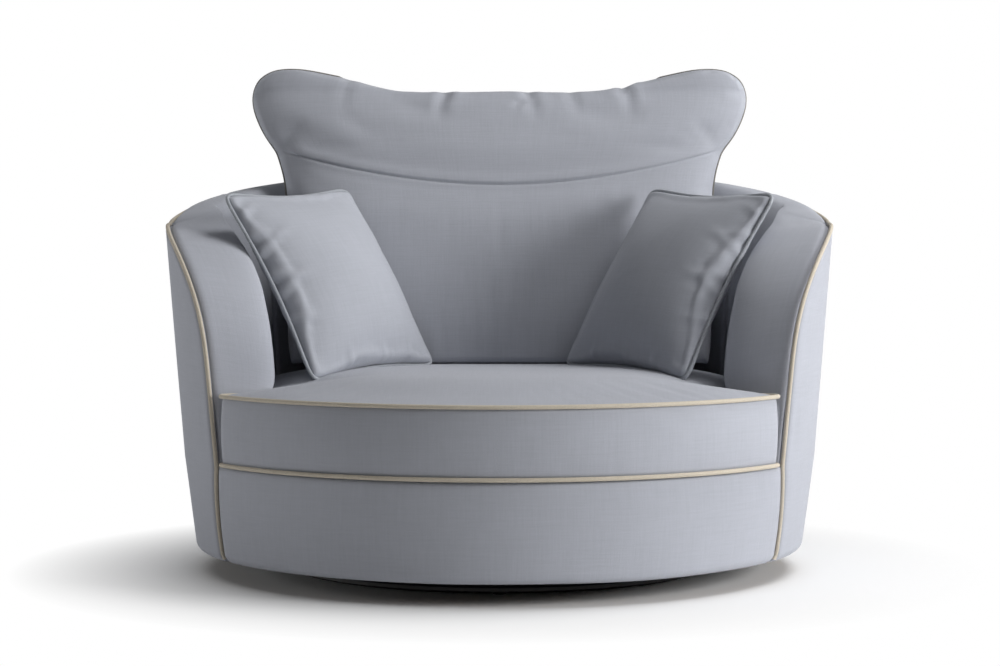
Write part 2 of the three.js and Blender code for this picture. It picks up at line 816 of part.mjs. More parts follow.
// The T-shaped plan of the seat: a wide front between round corners, narrower between the arms.
function seatPlan(sizes, columns, rows) {
  const { frontRadius, sideRadius, cornerHalf, cornerRound, returnDepth } = sizes;
  const rearAngle = angles.seatRear * degree;
  const cornerAngle = Math.asin(cornerHalf / frontRadius);
  const notchAngle = frontAngle(sideRadius, returnDepth);
  const front = (s) => planPoint(frontRadius, lerp(-cornerAngle, cornerAngle, s), 0);
  const rear = (s) => planPoint(sideRadius, lerp(-rearAngle, rearAngle - 2 * Math.PI, s), 0);
  const side = (j) => {
    if (j === 0) return front(1);
    if (j === 1) return new THREE.Vector3(cornerHalf - cornerRound, -returnDepth, 0);
    return planPoint(sideRadius, lerp(notchAngle, rearAngle, (j - 2) / (rows - 2)), 0);
  };
  const [, , notchShare] = frontRowShares;
  const blendOf = (j) => (j < 3 ? frontRowShares[j] : lerp(notchShare, 1, (j - 2) / (rows - 2)));
  return (i, j) => {
    const s = i / columns;
    const blend = blendOf(j);
    const right = side(j);
    const left = mirrored([right])[0];
    const base = (along) => front(along).lerp(rear(along), blend);
    const point = base(s);
    point.addScaledVector(left.sub(base(0)), 1 - s);
    point.addScaledVector(right.sub(base(1)), s);
    return point;
  };
}

function platformPad() {
  const plan = seatPlan(seatSizes(deck, angles.deckCornerAngle), 10, 8);
  const rows = Array.from({ length: 9 }, (_, j) => j);
  const grid = (z) => rows.map((j) => Array.from({ length: 11 }, (_, i) => plan(i, j).setZ(z)));
  return sheetBody(grid(shell.seatZ), grid(shell.seatZ - deck.thickness));
}

const strapZ = frame.ringTop + clearance.touching;
const strapReach = padBaseRadius - webbing.padGap;

// A strap from front to back over the ring, as far as the ring and the pads let it at its place.
function longStrap(x) {
  const edge = Math.abs(x) + webbing.width / 2;
  const front = -Math.sqrt((shell.rimRadius - webbing.frontInset) ** 2 - edge ** 2);
  const rear = planPoint(strapReach, Math.PI - Math.asin(edge / strapReach), 0).y;
  const body = new THREE.BoxGeometry(webbing.width, rear - front, webbing.thickness);
  body.translate(x, (front + rear) / 2, strapZ + webbing.thickness / 2);
  return body;
}

// A strap from side to side, on top of the long ones.
function crossStrap(y) {
  const edge = Math.abs(y) + webbing.width / 2;
  const half = Math.sqrt(strapReach ** 2 - (edge / backSquash) ** 2);
  const body = new THREE.BoxGeometry(2 * half, webbing.width, webbing.thickness);
  body.translate(0, y, strapZ + 1.5 * webbing.thickness + clearance.touching);
  return body;
}

// Base and swivel

const ringInner = ringBase.outer - ringBase.width;
const ringTopZ = ringBase.bottomZ + ringBase.height;
const hubZ = ringTopZ + clearance.touching;
const lowerRaceZ = hubZ + hub.thickness + clearance.touching;
const ballZ = lowerRaceZ + bearing.raceHeight + bearing.ballRise;
const upperRaceZ = ballZ + bearing.ballRise;
const topPlateZ = upperRaceZ + bearing.raceHeight + clearance.touching;

function lathe(profile, segments) {
  const points = [...profile, profile[0]].map(([r, z]) => new THREE.Vector2(r, z));
  const body = new THREE.LatheGeometry(points, segments);
  body.rotateX(Math.PI / 2);
  return tidyClosed(body);
}

// Closes the seam of a turned body and faces it outward.
function tidyClosed(body) {
  const bare = body.clone();
  bare.deleteAttribute('normal');
  bare.deleteAttribute('uv');
  const merged = mergeVertices(bare, mergeReach);
  const points = [];
  const at = merged.attributes.position;
  for (let i = 0; i < at.count; i += 1) points.push(new THREE.Vector3().fromBufferAttribute(at, i));
  const triangles = [];
  for (let i = 0; i < merged.index.count; i += 3) {
    triangles.push([0, 1, 2].map((k) => merged.index.getX(i + k)));
  }
  return closedGeometry(points, triangles);
}

function baseRing() {
  const { outer, bottomZ, chamfer } = ringBase;
  return lathe([
    [ringInner, bottomZ],
    [outer - chamfer, bottomZ],
    [outer, bottomZ + chamfer],
    [outer, ringTopZ - chamfer],
    [outer - chamfer, ringTopZ],
    [ringInner, ringTopZ],
  ], 40);
}

function flatRing(inner, outer, bottomZ, topZ, segments) {
  return lathe([[inner, bottomZ], [outer, bottomZ], [outer, topZ], [inner, topZ]], segments);
}

// One race: a flat ring with a groove for the balls on the side that faces them.
function raceBody(bottomZ, up) {
  const groove = bearing.ballRadius + bearing.ballGap;
  const faceZ = up ? bottomZ + bearing.raceHeight : bottomZ;
  const outsideZ = up ? bottomZ : bottomZ + bearing.raceHeight;
  const half = Math.sqrt(groove ** 2 - bearing.ballRise ** 2);
  const deepZ = up ? ballZ - groove : ballZ + groove;
  return lathe([
    [bearing.inner, outsideZ],
    [bearing.outer, outsideZ],
    [bearing.outer, faceZ],
    [bearing.ballRun + half, faceZ],
    [bearing.ballRun + half / 2, deepZ],
    [bearing.ballRun - half / 2, deepZ],
    [bearing.ballRun - half, faceZ],
    [bearing.inner, faceZ],
  ], raceSteps);
}

function ballCage() {
  const halfThickness = bearing.cageThickness / 2;
  const { ballRun, cageHalf } = bearing;
  const [inner, outer] = [ballRun - cageHalf, ballRun + cageHalf];
  let cage = solidOf(flatRing(inner, outer, ballZ - halfThickness, ballZ + halfThickness, raceSteps));
  for (let k = 0; k < ballCount; k += 1) {
    const angle = (2 * Math.PI * k) / ballCount - Math.PI / 2;
    const ball = new THREE.SphereGeometry(bearing.ballRadius, 6, 4);
    ball.rotateX(Math.PI / 2);
    ball.translate(ballRun * Math.cos(angle), ballRun * Math.sin(angle), ballZ);
    cage = cage.add(solidOf(tidyClosed(ball)));
  }
  return geometryOf(cage);
}

function swivelTopPlate() {
  const half = topPlate.side / 2;
  const shape = new THREE.Shape();
  shape.moveTo(-half, -half).lineTo(half, -half).lineTo(half, half).lineTo(-half, half).closePath();
  const hole = (x, y, radius) => {
    const path = new THREE.Path();
    path.absarc(x, y, radius, 0, 2 * Math.PI, true);
    shape.holes.push(path);
  };
  hole(0, 0, topPlate.hole);
  for (const [x, y] of boltPlaces) hole(x, y, topPlate.boltHole);
  const depth = topPlate.thickness;
  const body = new THREE.ExtrudeGeometry(shape, { depth, bevelEnabled: false, curveSegments: 6 });
  body.translate(0, 0, topPlateZ);
  return body;
}

function boltBody() {
  return lathe([
    [0, 0],
    [bolt.headRadius, 0],
    [bolt.headRadius, bolt.headHeight],
    [bolt.radius, bolt.headHeight],
    [bolt.radius, bolt.headHeight + bolt.length],
    [0, bolt.headHeight + bolt.length],
  ], 10);
}

// Seat cushion

// How far a plan point lies inside the outline of a seat plan.
function edgeDistance(plan, columns, rows) {
  const outline = [];
  for (let i = 0; i < columns; i += 1) outline.push(plan(i, 0));
  for (let j = 0; j < rows; j += 1) outline.push(plan(columns, j));
  for (let i = columns; i > 0; i -= 1) outline.push(plan(i, rows));
  for (let j = rows; j > 0; j -= 1) outline.push(plan(0, j));
  const nearest = new THREE.Vector3();
  return (point) => Math.min(...outline.map((start, k) => {
    const stretch = new THREE.Line3(start, outline[(k + 1) % outline.length]);
    return stretch.closestPointToPoint(point, true, nearest).distanceTo(point);
  }));
}

const seatColumns = 12;
const seatRows = 9;
const zipBandShares = [0.44, 0.54];

// The top swells quickly inside the piping, then more slowly to the middle.
function seatSkin(columns, rows, rings) {
  const plan = seatPlan(seatSizes(seat, angles.seatCornerAngle), columns, rows);
  const distance = edgeDistance(plan, columns, rows);
  const rise = (i, j) => 1 - (1 - Math.min(distance(plan(i, j)) / seat.crownReach, 1)) ** 2.4;
  const onRim = (i, j) => i === 0 || j === 0 || i === columns || j === rows;
  return cushionSkin({
    columns,
    rows,
    rings,
    bulge: seat.bulge,
    face: (i, j) => plan(i, j).setZ(seat.topEdge + (onRim(i, j) ? 0 : seat.crown * rise(i, j))),
    reverse: (i, j) => plan(i, j).setZ(seatBottomZ - (onRim(i, j) ? 0 : trim.radius)),
  });
}

// Back cushion

// Rows below and above the smile-shaped seam, as shares of each part's height.
const backLowShares = [0, 0.12, 0.34, 0.6, 0.84, 0.95];
const backHighShares = [0, 0.08, 0.24, 0.5, 0.76, 1];
const backRows = backLowShares.length + backHighShares.length - 1;
const earShare = 0.87;
const tipStartShare = 0.9;
const creaseShare = 0.3;
const backColumnShares = [-1, -0.94, -0.82, -0.64, -0.42, -0.2, 0, 0.2, 0.42, 0.64, 0.82, 0.94, 1];

function backTop(side) {
  const reach = Math.abs(side);
  const ear = Math.min(reach / earShare, 1) ** 3.2;
  const rounding = share(reach, earShare, 1) ** 2;
  return back.topZ + back.earRise * ear - back.earRound * rounding;
}

function backHeight(side, j) {
  const seam = back.seamZ + back.seamRise * side ** 2;
  if (j < backLowShares.length) return lerp(backBottomZ, seam, backLowShares[j]);
  return lerp(seam, backTop(side), backHighShares[j - backLowShares.length]);
}

function backHalfWidth(z) {
  const tipStart = lerp(shell.rimBackZ, back.topZ, tipStartShare);
  const rise = share(z, backBottomZ, back.seamZ) ** 0.6;
  if (z < back.seamZ) return lerp(backHalf.seat, backHalf.rim, rise);
  const ear = share(z, back.seamZ, tipStart);
  const flare = lerp(backHalf.rim, backHalf.ear, ear * ear * (3 - 2 * ear));
  const tip = share(z, tipStart, back.topZ + back.earRise) ** 1.8;
  return lerp(flare, backHalf.tip, tip);
}

function backSideDepth(z) {
  const low = share(z, backBottomZ, backBottomZ + (back.seamZ - backBottomZ) / 2);
  const high = share(z, back.seamZ, back.topZ);
  return lerp(back.seatSide, back.rimSide, low) + (back.headSide - back.rimSide) * high;
}

// Each part of the cushion swells between its seams.
function lobeShare(s) {
  return (1 - (2 * s - 1) ** 4) ** 0.6;
}

function backPoint(i, j, rear) {
  const side = backColumnShares[i];
  const z = backHeight(side, j);
  const x = side * backHalfWidth(z);
  const rise = share(z, backBottomZ, back.topZ);
  const edgeY = lerp(backFrontY, backHeadY, rise);
  const across = 1 - Math.abs(side) ** 3;
  if (rear) {
    const crown = lerp(back.rearCrown, back.headRearCrown, share(z, back.seamZ, back.topZ));
    const free = edgeY + backSideDepth(z) + crown * (1 - side ** 2);
    return new THREE.Vector3(x, Math.min(free, tubWallY(x, z) - back.wallGap), z);
  }
  const seamRow = backLowShares.length;
  const low = j < seamRow;
  const within = low ? backLowShares[j] : backHighShares[j - seamRow];
  const swell = low
    ? back.frontCrown * lobeShare(lerp(creaseShare, 1, within))
    : back.headCrown * lobeShare(within);
  const channel = j === seamRow ? back.seamDepth * across : 0;
  const base = low ? 0 : back.frontCrown * creaseShare;
  return new THREE.Vector3(x, edgeY - (swell + base) * across + channel, z);
}

// Where the tub's inner wall lies behind a point of the back cushion; above the rim there is none.
function tubWallY(x, z) {
  const angle = Math.PI - Math.asin(Math.min(Math.abs(x) / padShoulderRadius, 1));
  const section = padSection(rimHeight(angle)).slice(0, -1);
  const upper = section.findIndex(([, height]) => height > z);
  if (upper < 0) return Infinity;
  const [[r0, z0], [r1, z1]] = [section[Math.max(upper - 1, 0)], section[Math.max(upper, 1)]];
  const radius = lerp(r0, r1, share(z, z0, z1));
  return backSquash * Math.sqrt(Math.max(radius ** 2 - x ** 2, 0));
}

function backSkin() {
  return cushionSkin({
    columns: backColumnShares.length - 1,
    rows: backRows,
    rings: [0.4, 0.6],
    bulge: back.sideBulge,
    face: (i, j) => backPoint(i, j, false),
    reverse: (i, j) => backPoint(i, j, true),
  });
}

// Scatter cushions

const scatterSteps = 8;

function scatterSkin(steps) {
  const edgeShares = Array.from({ length: steps + 1 }, (_, k) => Math.sin((k / steps - 0.5) * Math.PI));
  const point = (i, j, sign) => {
    const [s, t] = [edgeShares[i], edgeShares[j]];
    const x = s * (scatter.halfWidth - scatter.drawIn * (1 - t * t) * Math.abs(s));
    const y = t * (scatter.halfHeight - scatter.drawIn * (1 - s * s) * Math.abs(t));
    const plump = ((1 - s * s) * (1 - t * t)) ** 0.45;
    return new THREE.Vector3(x, y, sign * (scatter.edge + scatter.loft * plump));
  };
  return cushionSkin({
    columns: steps,
    rows: steps,
    rings: [],
    bulge: 0,
    face: (i, j) => point(i, j, 1),
    reverse: (i, j) => point(i, j, -1),
  });
}

// Assembly

place('base_ring', baseRing(), blackSteel);
const barZ = ringTopZ - bar.height / 2;
const barReach = ringInner - bar.endGap;
const longBar = new THREE.BoxGeometry(2 * barReach, bar.width, bar.height);
place('base_bar_long', longBar, blackSteel).position.set(0, 0, barZ);
const halfLength = barReach - bar.width / 2 - clearance.touching;
for (const [name, sign] of [['front', -1], ['rear', 1]]) {
  const half = new THREE.BoxGeometry(bar.width, halfLength, bar.height);
  place(`base_bar_${name}`, half, blackSteel).position.set(0, sign * (barReach - halfLength / 2), barZ);
}
const glideRun = ringBase.outer - ringBase.width / 2;
for (const [name, x, y] of [['left', -1, 0], ['right', 1, 0], ['front', 0, -1], ['rear', 0, 1]]) {
  const body = lathe([[0, 0], [glide.footRadius, 0], [glide.radius, glide.height], [0, glide.height]], 16);
  place(`floor_glide_${name}`, body, blackPlastic).position.set(x * glideRun, y * glideRun, 0);
}
place('base_hub_plate', flatRing(hub.hole, hub.radius, hubZ, hubZ + hub.thickness, 32), blackSteel);
place('bearing_lower_race', raceBody(lowerRaceZ, true), zinc);
place('bearing_ball_cage', ballCage(), zinc);
place('bearing_upper_race', raceBody(upperRaceZ, false), zinc);
place('swivel_top_plate', swivelTopPlate(), zinc);
boltPlaces.forEach(([x, y], k) => {
  const z = topPlateZ - clearance.touching - bolt.headHeight;
  place(`plate_bolt_${k + 1}`, boltBody(), zinc).position.set(x, y, z);
});

place('bottom_board', bottomBoard(), timber);
place('seat_ring', planRing(ringInnerRadius, padHiddenRadius, frame.ringBottom, frame.ringTop), timber);
for (const [side, sign] of [['left', -1], ['right', 1]]) {
  place(`front_post_${side}`, tallRib(sign * angles.post * degree, facetRoom), timber);
  place(`side_rib_${side}`, tallRib(sign * angles.split * degree), timber);
  place(`back_rib_${side}`, tallRib(sign * angles.backRibAngle * degree), timber);
  place(`front_stud_${side}`, frontStud(sign * angles.frontStud * degree), timber);
}
place('top_rail', topRail(), timber);
[-1, 0, 1].forEach((k) => {
  place(`seat_strap_${['left', 'middle', 'right'][k + 1]}`, longStrap(k * webbing.spread), strap);
});
place('cross_strap_front', crossStrap(-webbing.crossSpread), strap);
place('cross_strap_rear', crossStrap(webbing.crossSpread), strap);
place('platform_pad', platformPad(), blackCloth);
const dustTop = frame.boardZ - clearance.touching;
const dustOuter = boardRadius - dust.edgeInset;
place('dust_cover', planRing(dust.inner, dustOuter, dustTop - dust.thickness, dustTop), blackCloth);
place('outer_panel_left', armPanel(-1), cloth);
place('outer_panel_right', armPanel(1), cloth);
place('outer_panel_back', backPanel(), cloth);
place('front_border', frontBorder(), cloth);
place('arm_pad_left', armPad(-1), cloth);
place('arm_pad_right', armPad(1), cloth);
place('back_pad', backPad(), cloth);
place('rim_piping', rimPiping(), cord);

const seatCover = seatSkin(seatColumns, seatRows, zipBandShares);
const seatZip = seatCover.rimQuads[1].slice(seatColumns + seatRows + 1, 2 * seatColumns + seatRows - 1);
place('seat_cushion_cover', coverBody(seatCover, seat.wall, seatZip), cloth);
place('seat_cushion_zip', zipBody(seatCover, seat.wall, seatZip, clearance.touching), blackPlastic);
const seatCore = seatSkin(seatColumns, seatRows, []);
place('seat_cushion_core', fillingBody(seatCore, seat.wall + seat.coreGap), foam);
for (const [name, rim] of [['top', seatCover.faceRim], ['bottom', seatCover.reverseRim]]) {
  place(`seat_piping_${name}`, cordBody(rimCord(seatCover, rim), trim.radius, cordSides, true), cord);
}

const backCover = backSkin();
const backZip = backCover.rimQuads[1].slice(2, 10);
place('back_cushion_cover', coverBody(backCover, back.wall, backZip), cloth);
place('back_cushion_zip', zipBody(backCover, back.wall, backZip, clearance.touching), blackPlastic);
place('back_cushion_filling', fillingBody(backCover, back.wall + clearance.loose), foam);

const backEdges = rimCord(backCover, backCover.faceRim);
const backRight = backEdges.slice(backCover.columns, backCover.columns + backCover.rows + 1);
place('back_piping_right', cordBody(backRight, trim.radius, cordSides, false), cord);
place('back_piping_left', cordBody(mirrored(backRight), trim.radius, cordSides, false), cord);

const scatterCover = scatterSkin(scatterSteps);
const scatterOpening = scatterCover.rimQuads[0].slice(2, scatterSteps - 2);
const cordFlat = trim.radius * Math.cos(Math.PI / cordSides);
const scatterReach = cordFlat + clearance.touching;
const scatterCord = rimCord(scatterCover, scatterCover.faceRim, scatterReach).map((p) => p.setZ(0));
for (const [name, sign] of [['left', -1], ['right', 1]]) {
  const holder = new THREE.Group();
  const { turn, lean, roll } = scatterAngles;
  const yaw = sign < 0 ? turn : -turn;
  holder.rotation.set(lean * degree, 0, yaw * degree, 'ZXY');
  const out = padShoulderRadius - scatter.wallGap;
  holder.position.set(sign * out, backFrontY - scatter.backGap, seat.topEdge + scatter.rise);
  const tilt = new THREE.Group();
  tilt.rotation.z = -sign * roll * degree;
  holder.add(tilt);
  chair.add(holder);
  place(`scatter_cover_${name}`, coverBody(scatterCover, scatter.wall, scatterOpening), scatterCloth, tilt);
  place(`scatter_filling_${name}`, fillingBody(scatterCover, scatter.wall + clearance.loose), foam, tilt);
  place(`scatter_piping_${name}`, cordBody(scatterCord, trim.radius, cordSides, true), cord, tilt);
}

chair.name = 'cuddle_chair';

export default chair;
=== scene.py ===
import math

import bmesh
import bpy
import numpy as np
from mathutils import Matrix, Vector


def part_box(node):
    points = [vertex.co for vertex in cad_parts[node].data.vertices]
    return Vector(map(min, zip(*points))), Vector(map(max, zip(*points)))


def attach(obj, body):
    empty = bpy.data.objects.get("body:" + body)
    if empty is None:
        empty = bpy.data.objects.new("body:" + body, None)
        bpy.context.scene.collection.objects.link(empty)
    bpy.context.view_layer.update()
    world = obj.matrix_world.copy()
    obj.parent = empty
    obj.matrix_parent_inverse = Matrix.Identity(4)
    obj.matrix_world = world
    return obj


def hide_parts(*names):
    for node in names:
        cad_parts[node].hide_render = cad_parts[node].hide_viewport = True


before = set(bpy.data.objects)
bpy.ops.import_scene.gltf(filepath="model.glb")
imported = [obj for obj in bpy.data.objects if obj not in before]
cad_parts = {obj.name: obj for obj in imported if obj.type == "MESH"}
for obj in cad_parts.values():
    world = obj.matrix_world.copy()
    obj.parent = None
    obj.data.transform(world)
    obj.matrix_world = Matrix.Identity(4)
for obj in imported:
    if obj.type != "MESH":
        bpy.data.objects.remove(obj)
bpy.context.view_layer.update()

# Sizes of the frame, in metres, as in the part

UNDERSIDE, UNDER_RADIUS = 0.042, 0.576
FOOT_Z, FOOT_RADIUS = 0.060, 0.594
SEAT_Z, SEAT_RADIUS = 0.226, 0.616
RIM_RADIUS, BACK_DEPTH = 0.650, 0.628
RIM_FRONT_Z, RIM_BACK_Z = 0.678, 0.788
ARM_DEPTH, FOOT_DEPTH, CORNER_START_Z = 0.317, 0.286, 0.380
SPLIT = math.radians(117)
RIM_LEVEL = math.radians(90)
SQUASH = BACK_DEPTH / RIM_RADIUS
PIPING = 0.0036
PAD_BOTTOM_Z, PAD_BASE, PAD_SHOULDER = 0.2003, 0.505, 0.527
ROLL_WIDTH, ROLL_HEIGHT = 0.078, 0.150
SEAT_EDGE_Z, SEAT_BOTTOM_Z = 0.357, 0.2299

# Sizes of the cloth, in metres
# The outer cloth stands proud of the panel under it, and a cord shows a little fuller than its seam.
PROUD = 0.003
CORD = 0.0041
CORD_GAP = 0.0004
RIM_DROP = 0.0078
SEAM_GAP = 0.0005
SEAT_CROWN = 0.035
BACK_BOTTOM_Z = 0.3915


# Points, sheets and tubes

def lerp(low, high, share):
    return low + (high - low) * share


def share_of(value, low, high):
    return np.clip((value - low) / (high - low), 0, 1)


def smooth(value):
    return value * value * (3 - 2 * value)


def unit(vectors):
    return vectors / np.linalg.norm(vectors, axis=-1, keepdims=True)


def evened(path, times):
    """A closed path whose points move halfway towards their neighbours."""
    for _ in range(times):
        path = 0.5 * path + 0.25 * (np.roll(path, 1, 0) + np.roll(path, -1, 0))
    return path


def closest(own, path, across, up):
    """The points nearest to the places of a path, which gives two of their coordinates."""
    return np.array([own[np.hypot(own[:, across] - a, own[:, up] - b).argmin()] for a, b in path])


def lengths(grid, axis):
    """Distance along the grid's rows or columns, from the first point of each."""
    steps = np.linalg.norm(np.diff(grid, axis=axis), axis=-1)
    start = np.zeros_like(np.take(steps, [0], axis=axis))
    return np.concatenate([start, np.cumsum(steps, axis=axis)], axis=axis)


def cloth_uv(grid):
    """UVs in metres: across along the middle row, up along each column."""
    across = lengths(grid, 1)
    up = lengths(grid, 0)
    middle = across[len(grid) // 2]
    u = np.broadcast_to(middle, across.shape)
    return np.stack([u, up], axis=-1)


def normals_of(grid, facing=1):
    """The side that the cloth shows: outward on the shell, and with facing -1 into the room of a pad."""
    by_row = np.gradient(grid, axis=0)
    by_column = np.gradient(grid, axis=1)
    normal = np.cross(by_column, by_row) * facing
    size = np.linalg.norm(normal, axis=-1, keepdims=True)
    return normal / np.maximum(size, 1e-9)


def at_lengths(points, run, wanted):
    return np.stack([np.interp(wanted, run, points[:, k]) for k in range(3)], axis=-1)


CURVE_STEPS = 24


def resample(points, count, closed=False, shares=None):
    """Points along a smooth curve through the given ones, spaced evenly or at the given shares of it."""
    points = np.asarray(points, float)
    if closed:
        points = np.vstack([points[-2:], points, points[:3]])
    else:
        points = np.vstack([2 * points[0] - points[1], points, 2 * points[-1] - points[-2]])
    dense = []
    for p0, p1, p2, p3 in zip(points, points[1:], points[2:], points[3:]):
        for t in np.linspace(0, 1, CURVE_STEPS, endpoint=False):
            dense.append(0.5 * ((2 * p1) + (p2 - p0) * t + (2 * p0 - 5 * p1 + 4 * p2 - p3) * t ** 2
                                + (3 * p1 - p0 - 3 * p2 + p3) * t ** 3))
    dense = np.array(dense[CURVE_STEPS:] if closed else dense + [points[-2]])
    if closed:
        dense = np.vstack([dense[:-CURVE_STEPS], dense[0]])
    run = lengths(dense[None], 1)[0]
    if shares is None:
        shares = np.linspace(0, 1, count + (1 if closed else 0))
    wanted = np.asarray(shares) * run[-1]
    out = at_lengths(dense, run, wanted)
    return out[:-1] if closed else out


WELD_DISTANCE = 1e-5


def finish_mesh(name, points, faces, uvs, material, weld=True):
    """A shaded object from points, faces and one UV for each face corner."""
    mesh = bpy.data.meshes.new(name)
    mesh.from_pydata([tuple(p) for p in points], [], [tuple(f) for f in faces])
    layer = mesh.uv_layers.new(name="cloth")
    flat = np.array([uv for face in uvs for uv in face], dtype=np.float32)
    layer.data.foreach_set("uv", flat.ravel())
    mesh.validate()
    if weld:
        bm = bmesh.new()
        bm.from_mesh(mesh)
        bmesh.ops.remove_doubles(bm, verts=bm.verts, dist=WELD_DISTANCE)
        bmesh.ops.recalc_face_normals(bm, faces=bm.faces)
        bm.to_mesh(mesh)
        bm.free()
    for polygon in mesh.polygons:
        polygon.use_smooth = True
    mesh.materials.append(material)
    piece = bpy.data.objects.new(name, mesh)
    bpy.context.scene.collection.objects.link(piece)
    return piece


class Cloth:
    """Collects sheets of points into one mesh."""

    def __init__(self):
        self.points, self.faces, self.uvs = [], [], []

    def add(self, grid, uv=None, flip=False, wrap=False):
        uv = cloth_uv(grid) if uv is None else uv
        rows, columns = grid.shape[:2]
        start = len(self.points)
        self.points.extend(grid.reshape(-1, 3))
        for i in range(rows - 1):
            for j in range(columns - (0 if wrap else 1)):
                k = (j + 1) % columns
                corners = [(i, j), (i, k), (i + 1, k), (i + 1, j)]
                if flip:
                    corners.reverse()
                self.faces.append([start + a * columns + b for a, b in corners])
                self.uvs.append([uv[a, b] for a, b in corners])
        return self

    def build(self, name, material):
        return finish_mesh(name, self.points, self.faces, self.uvs, material)


def points_of(mesh, what="co"):
    flat = np.empty(len(mesh.vertices) * 3)
    mesh.vertices.foreach_get(what, flat)
    return flat.reshape(-1, 3)


def put_points(mesh, points):
    mesh.vertices.foreach_set("co", np.asarray(points, float).ravel())
    mesh.update()


def vertex_normals(mesh):
    return points_of(mesh, "normal")


def subdivide(piece):
    """Rounds the mesh off once and keeps the result as its mesh."""
    rounding = piece.modifiers.new("rounding", "SUBSURF")
    rounding.levels = rounding.render_levels = 1
    depsgraph = bpy.context.evaluated_depsgraph_get()
    made = bpy.data.meshes.new_from_object(piece.evaluated_get(depsgraph), depsgraph=depsgraph)
    piece.modifiers.clear()
    piece.data = made
    for polygon in made.polygons:
        polygon.use_smooth = True


def settle(piece, sewn, pressure, extra, frames, cap, give=8):
    """How far each point of the cover moves, up to cap, when it fills as cloth; the sewn points stay."""
    start = points_of(piece.data)
    trial = bpy.data.objects.new("trial", piece.data.copy())
    bpy.context.scene.collection.objects.link(trial)
    trial.vertex_groups.new(name="sewn").add([int(k) for k in sewn], 1.0, "REPLACE")
    cloth = trial.modifiers.new("cloth", "CLOTH")
    settings = {"quality": 6, "mass": 0.25, "tension_stiffness": 12, "compression_stiffness": give,
                "shear_stiffness": 4, "bending_stiffness": 0.3, "air_damping": 2, "use_pressure": True,
                "uniform_pressure_force": pressure, "shrink_min": -extra, "vertex_group_mass": "sewn"}
    for key, value in settings.items():
        setattr(cloth.settings, key, value)
    cloth.settings.effector_weights.gravity = 0
    cloth.collision_settings.use_collision = False
    cloth.point_cache.frame_start, cloth.point_cache.frame_end = 1, frames
    for step in range(1, frames + 1):
        bpy.context.scene.frame_set(step)
    depsgraph = bpy.context.evaluated_depsgraph_get()
    puffed = trial.evaluated_get(depsgraph).to_mesh()
    moved = points_of(puffed) - start
    far = np.linalg.norm(moved, axis=1, keepdims=True)
    bpy.data.objects.remove(trial)
    bpy.context.scene.frame_set(1)
    return moved * cap * np.tanh(far / cap) / np.maximum(far, 1e-9)


def crease(piece, lines):
    """Presses soft folds into the cloth: each has a path, a depth, a width and whether it fades one way."""
    points, normal = points_of(piece.data), vertex_normals(piece.data)
    shift = np.zeros(len(points))
    for path, depth, width, fade in lines:
        path = resample(path, 24)
        near = (points > path.min(0) - 4 * width).all(1) & (points < path.max(0) + 4 * width).all(1)
        own = points[near]
        gap = np.linalg.norm(own[:, None] - path[None], axis=2)
        t = gap.argmin(1) / (len(path) - 1)
        gap = gap.min(1)
        strength = 1 - smooth(t) if fade else np.sin(np.pi * np.clip(t, 0.001, 0.999)) ** 0.6
        fold = -np.exp(-(gap / width) ** 2) + 0.35 * np.exp(-((gap - 2.1 * width) / width) ** 2)
        shift[near] += depth * strength * fold
    put_points(piece.data, points + normal * shift[:, None])


NEARLY_UP = (0.03, 0.02, 1.0)


def tube(name, path, radius, material, sides=10, closed=False, spacing=0.006):
    """A round cord along a path, with UVs in metres along and round it."""
    run = lengths(np.asarray(path)[None], 1)[0][-1]
    path = resample(path, max(int(run / spacing), 8), closed)
    count = len(path)
    ahead = np.roll(path, -1, 0) - np.roll(path, 1, 0)
    if not closed:
        ahead[0], ahead[-1] = path[1] - path[0], path[-1] - path[-2]
    ahead = unit(ahead)
    side = np.cross(NEARLY_UP, ahead[0])
    rings = []
    for p, t in zip(path, ahead):
        side = unit(side - t * np.dot(side, t))
        up = np.cross(t, side)
        turn = np.linspace(0, 2 * np.pi, sides, endpoint=False)
        rings.append(p + radius * (np.cos(turn)[:, None] * side + np.sin(turn)[:, None] * up))
    rings = np.array(rings)
    along = lengths(path[None], 1)[0]
    points = list(rings.reshape(-1, 3))
    faces, uvs = [], []
    around = 2 * np.pi * radius / sides
    for i in range(count if closed else count - 1):
        n = (i + 1) % count
        u0 = along[i]
        u1 = along[i] + np.linalg.norm(path[n] - path[i])
        for k in range(sides):
            m = (k + 1) % sides
            faces.append([i * sides + k, n * sides + k, n * sides + m, i * sides + m])
            uvs.append([(u0, k * around), (u1, k * around), (u1, (k + 1) * around), (u0, (k + 1) * around)])
    if not closed:
        for i, order in ((0, -1), (count - 1, 1)):
            faces.append([i * sides + k for k in range(sides)][::order])
            uvs.append([(along[i], k * around) for k in range(sides)][::order])
    return finish_mesh(name, points, faces, uvs, material, weld=False)


# Materials

def shader(name, roughness, metallic=0.0, sheen=0.0, specular=0.5):
    material = bpy.data.materials.new(name)
    material.use_nodes = True
    tree = material.node_tree
    bsdf = tree.nodes["Principled BSDF"]
    bsdf.inputs["Metallic"].default_value = metallic
    bsdf.inputs["Roughness"].default_value = roughness
    bsdf.inputs["Specular IOR Level"].default_value = specular
    bsdf.inputs["Sheen Weight"].default_value = sheen
    bsdf.inputs["Sheen Roughness"].default_value = 0.45
    return material, tree, bsdf


def node(tree, kind, inputs=None, **settings):
    made = tree.nodes.new(kind)
    for key, value in settings.items():
        setattr(made, key, value)
    for key, value in (inputs or {}).items():
        value = getattr(value, "socket", value)
        if isinstance(value, bpy.types.NodeSocket):
            tree.links.new(value, made.inputs[key])
        else:
            made.inputs[key].default_value = value
    return made


def math_node(tree, operation, *values):
    return node(tree, "ShaderNodeMath", dict(enumerate(values)), operation=operation).outputs[0]


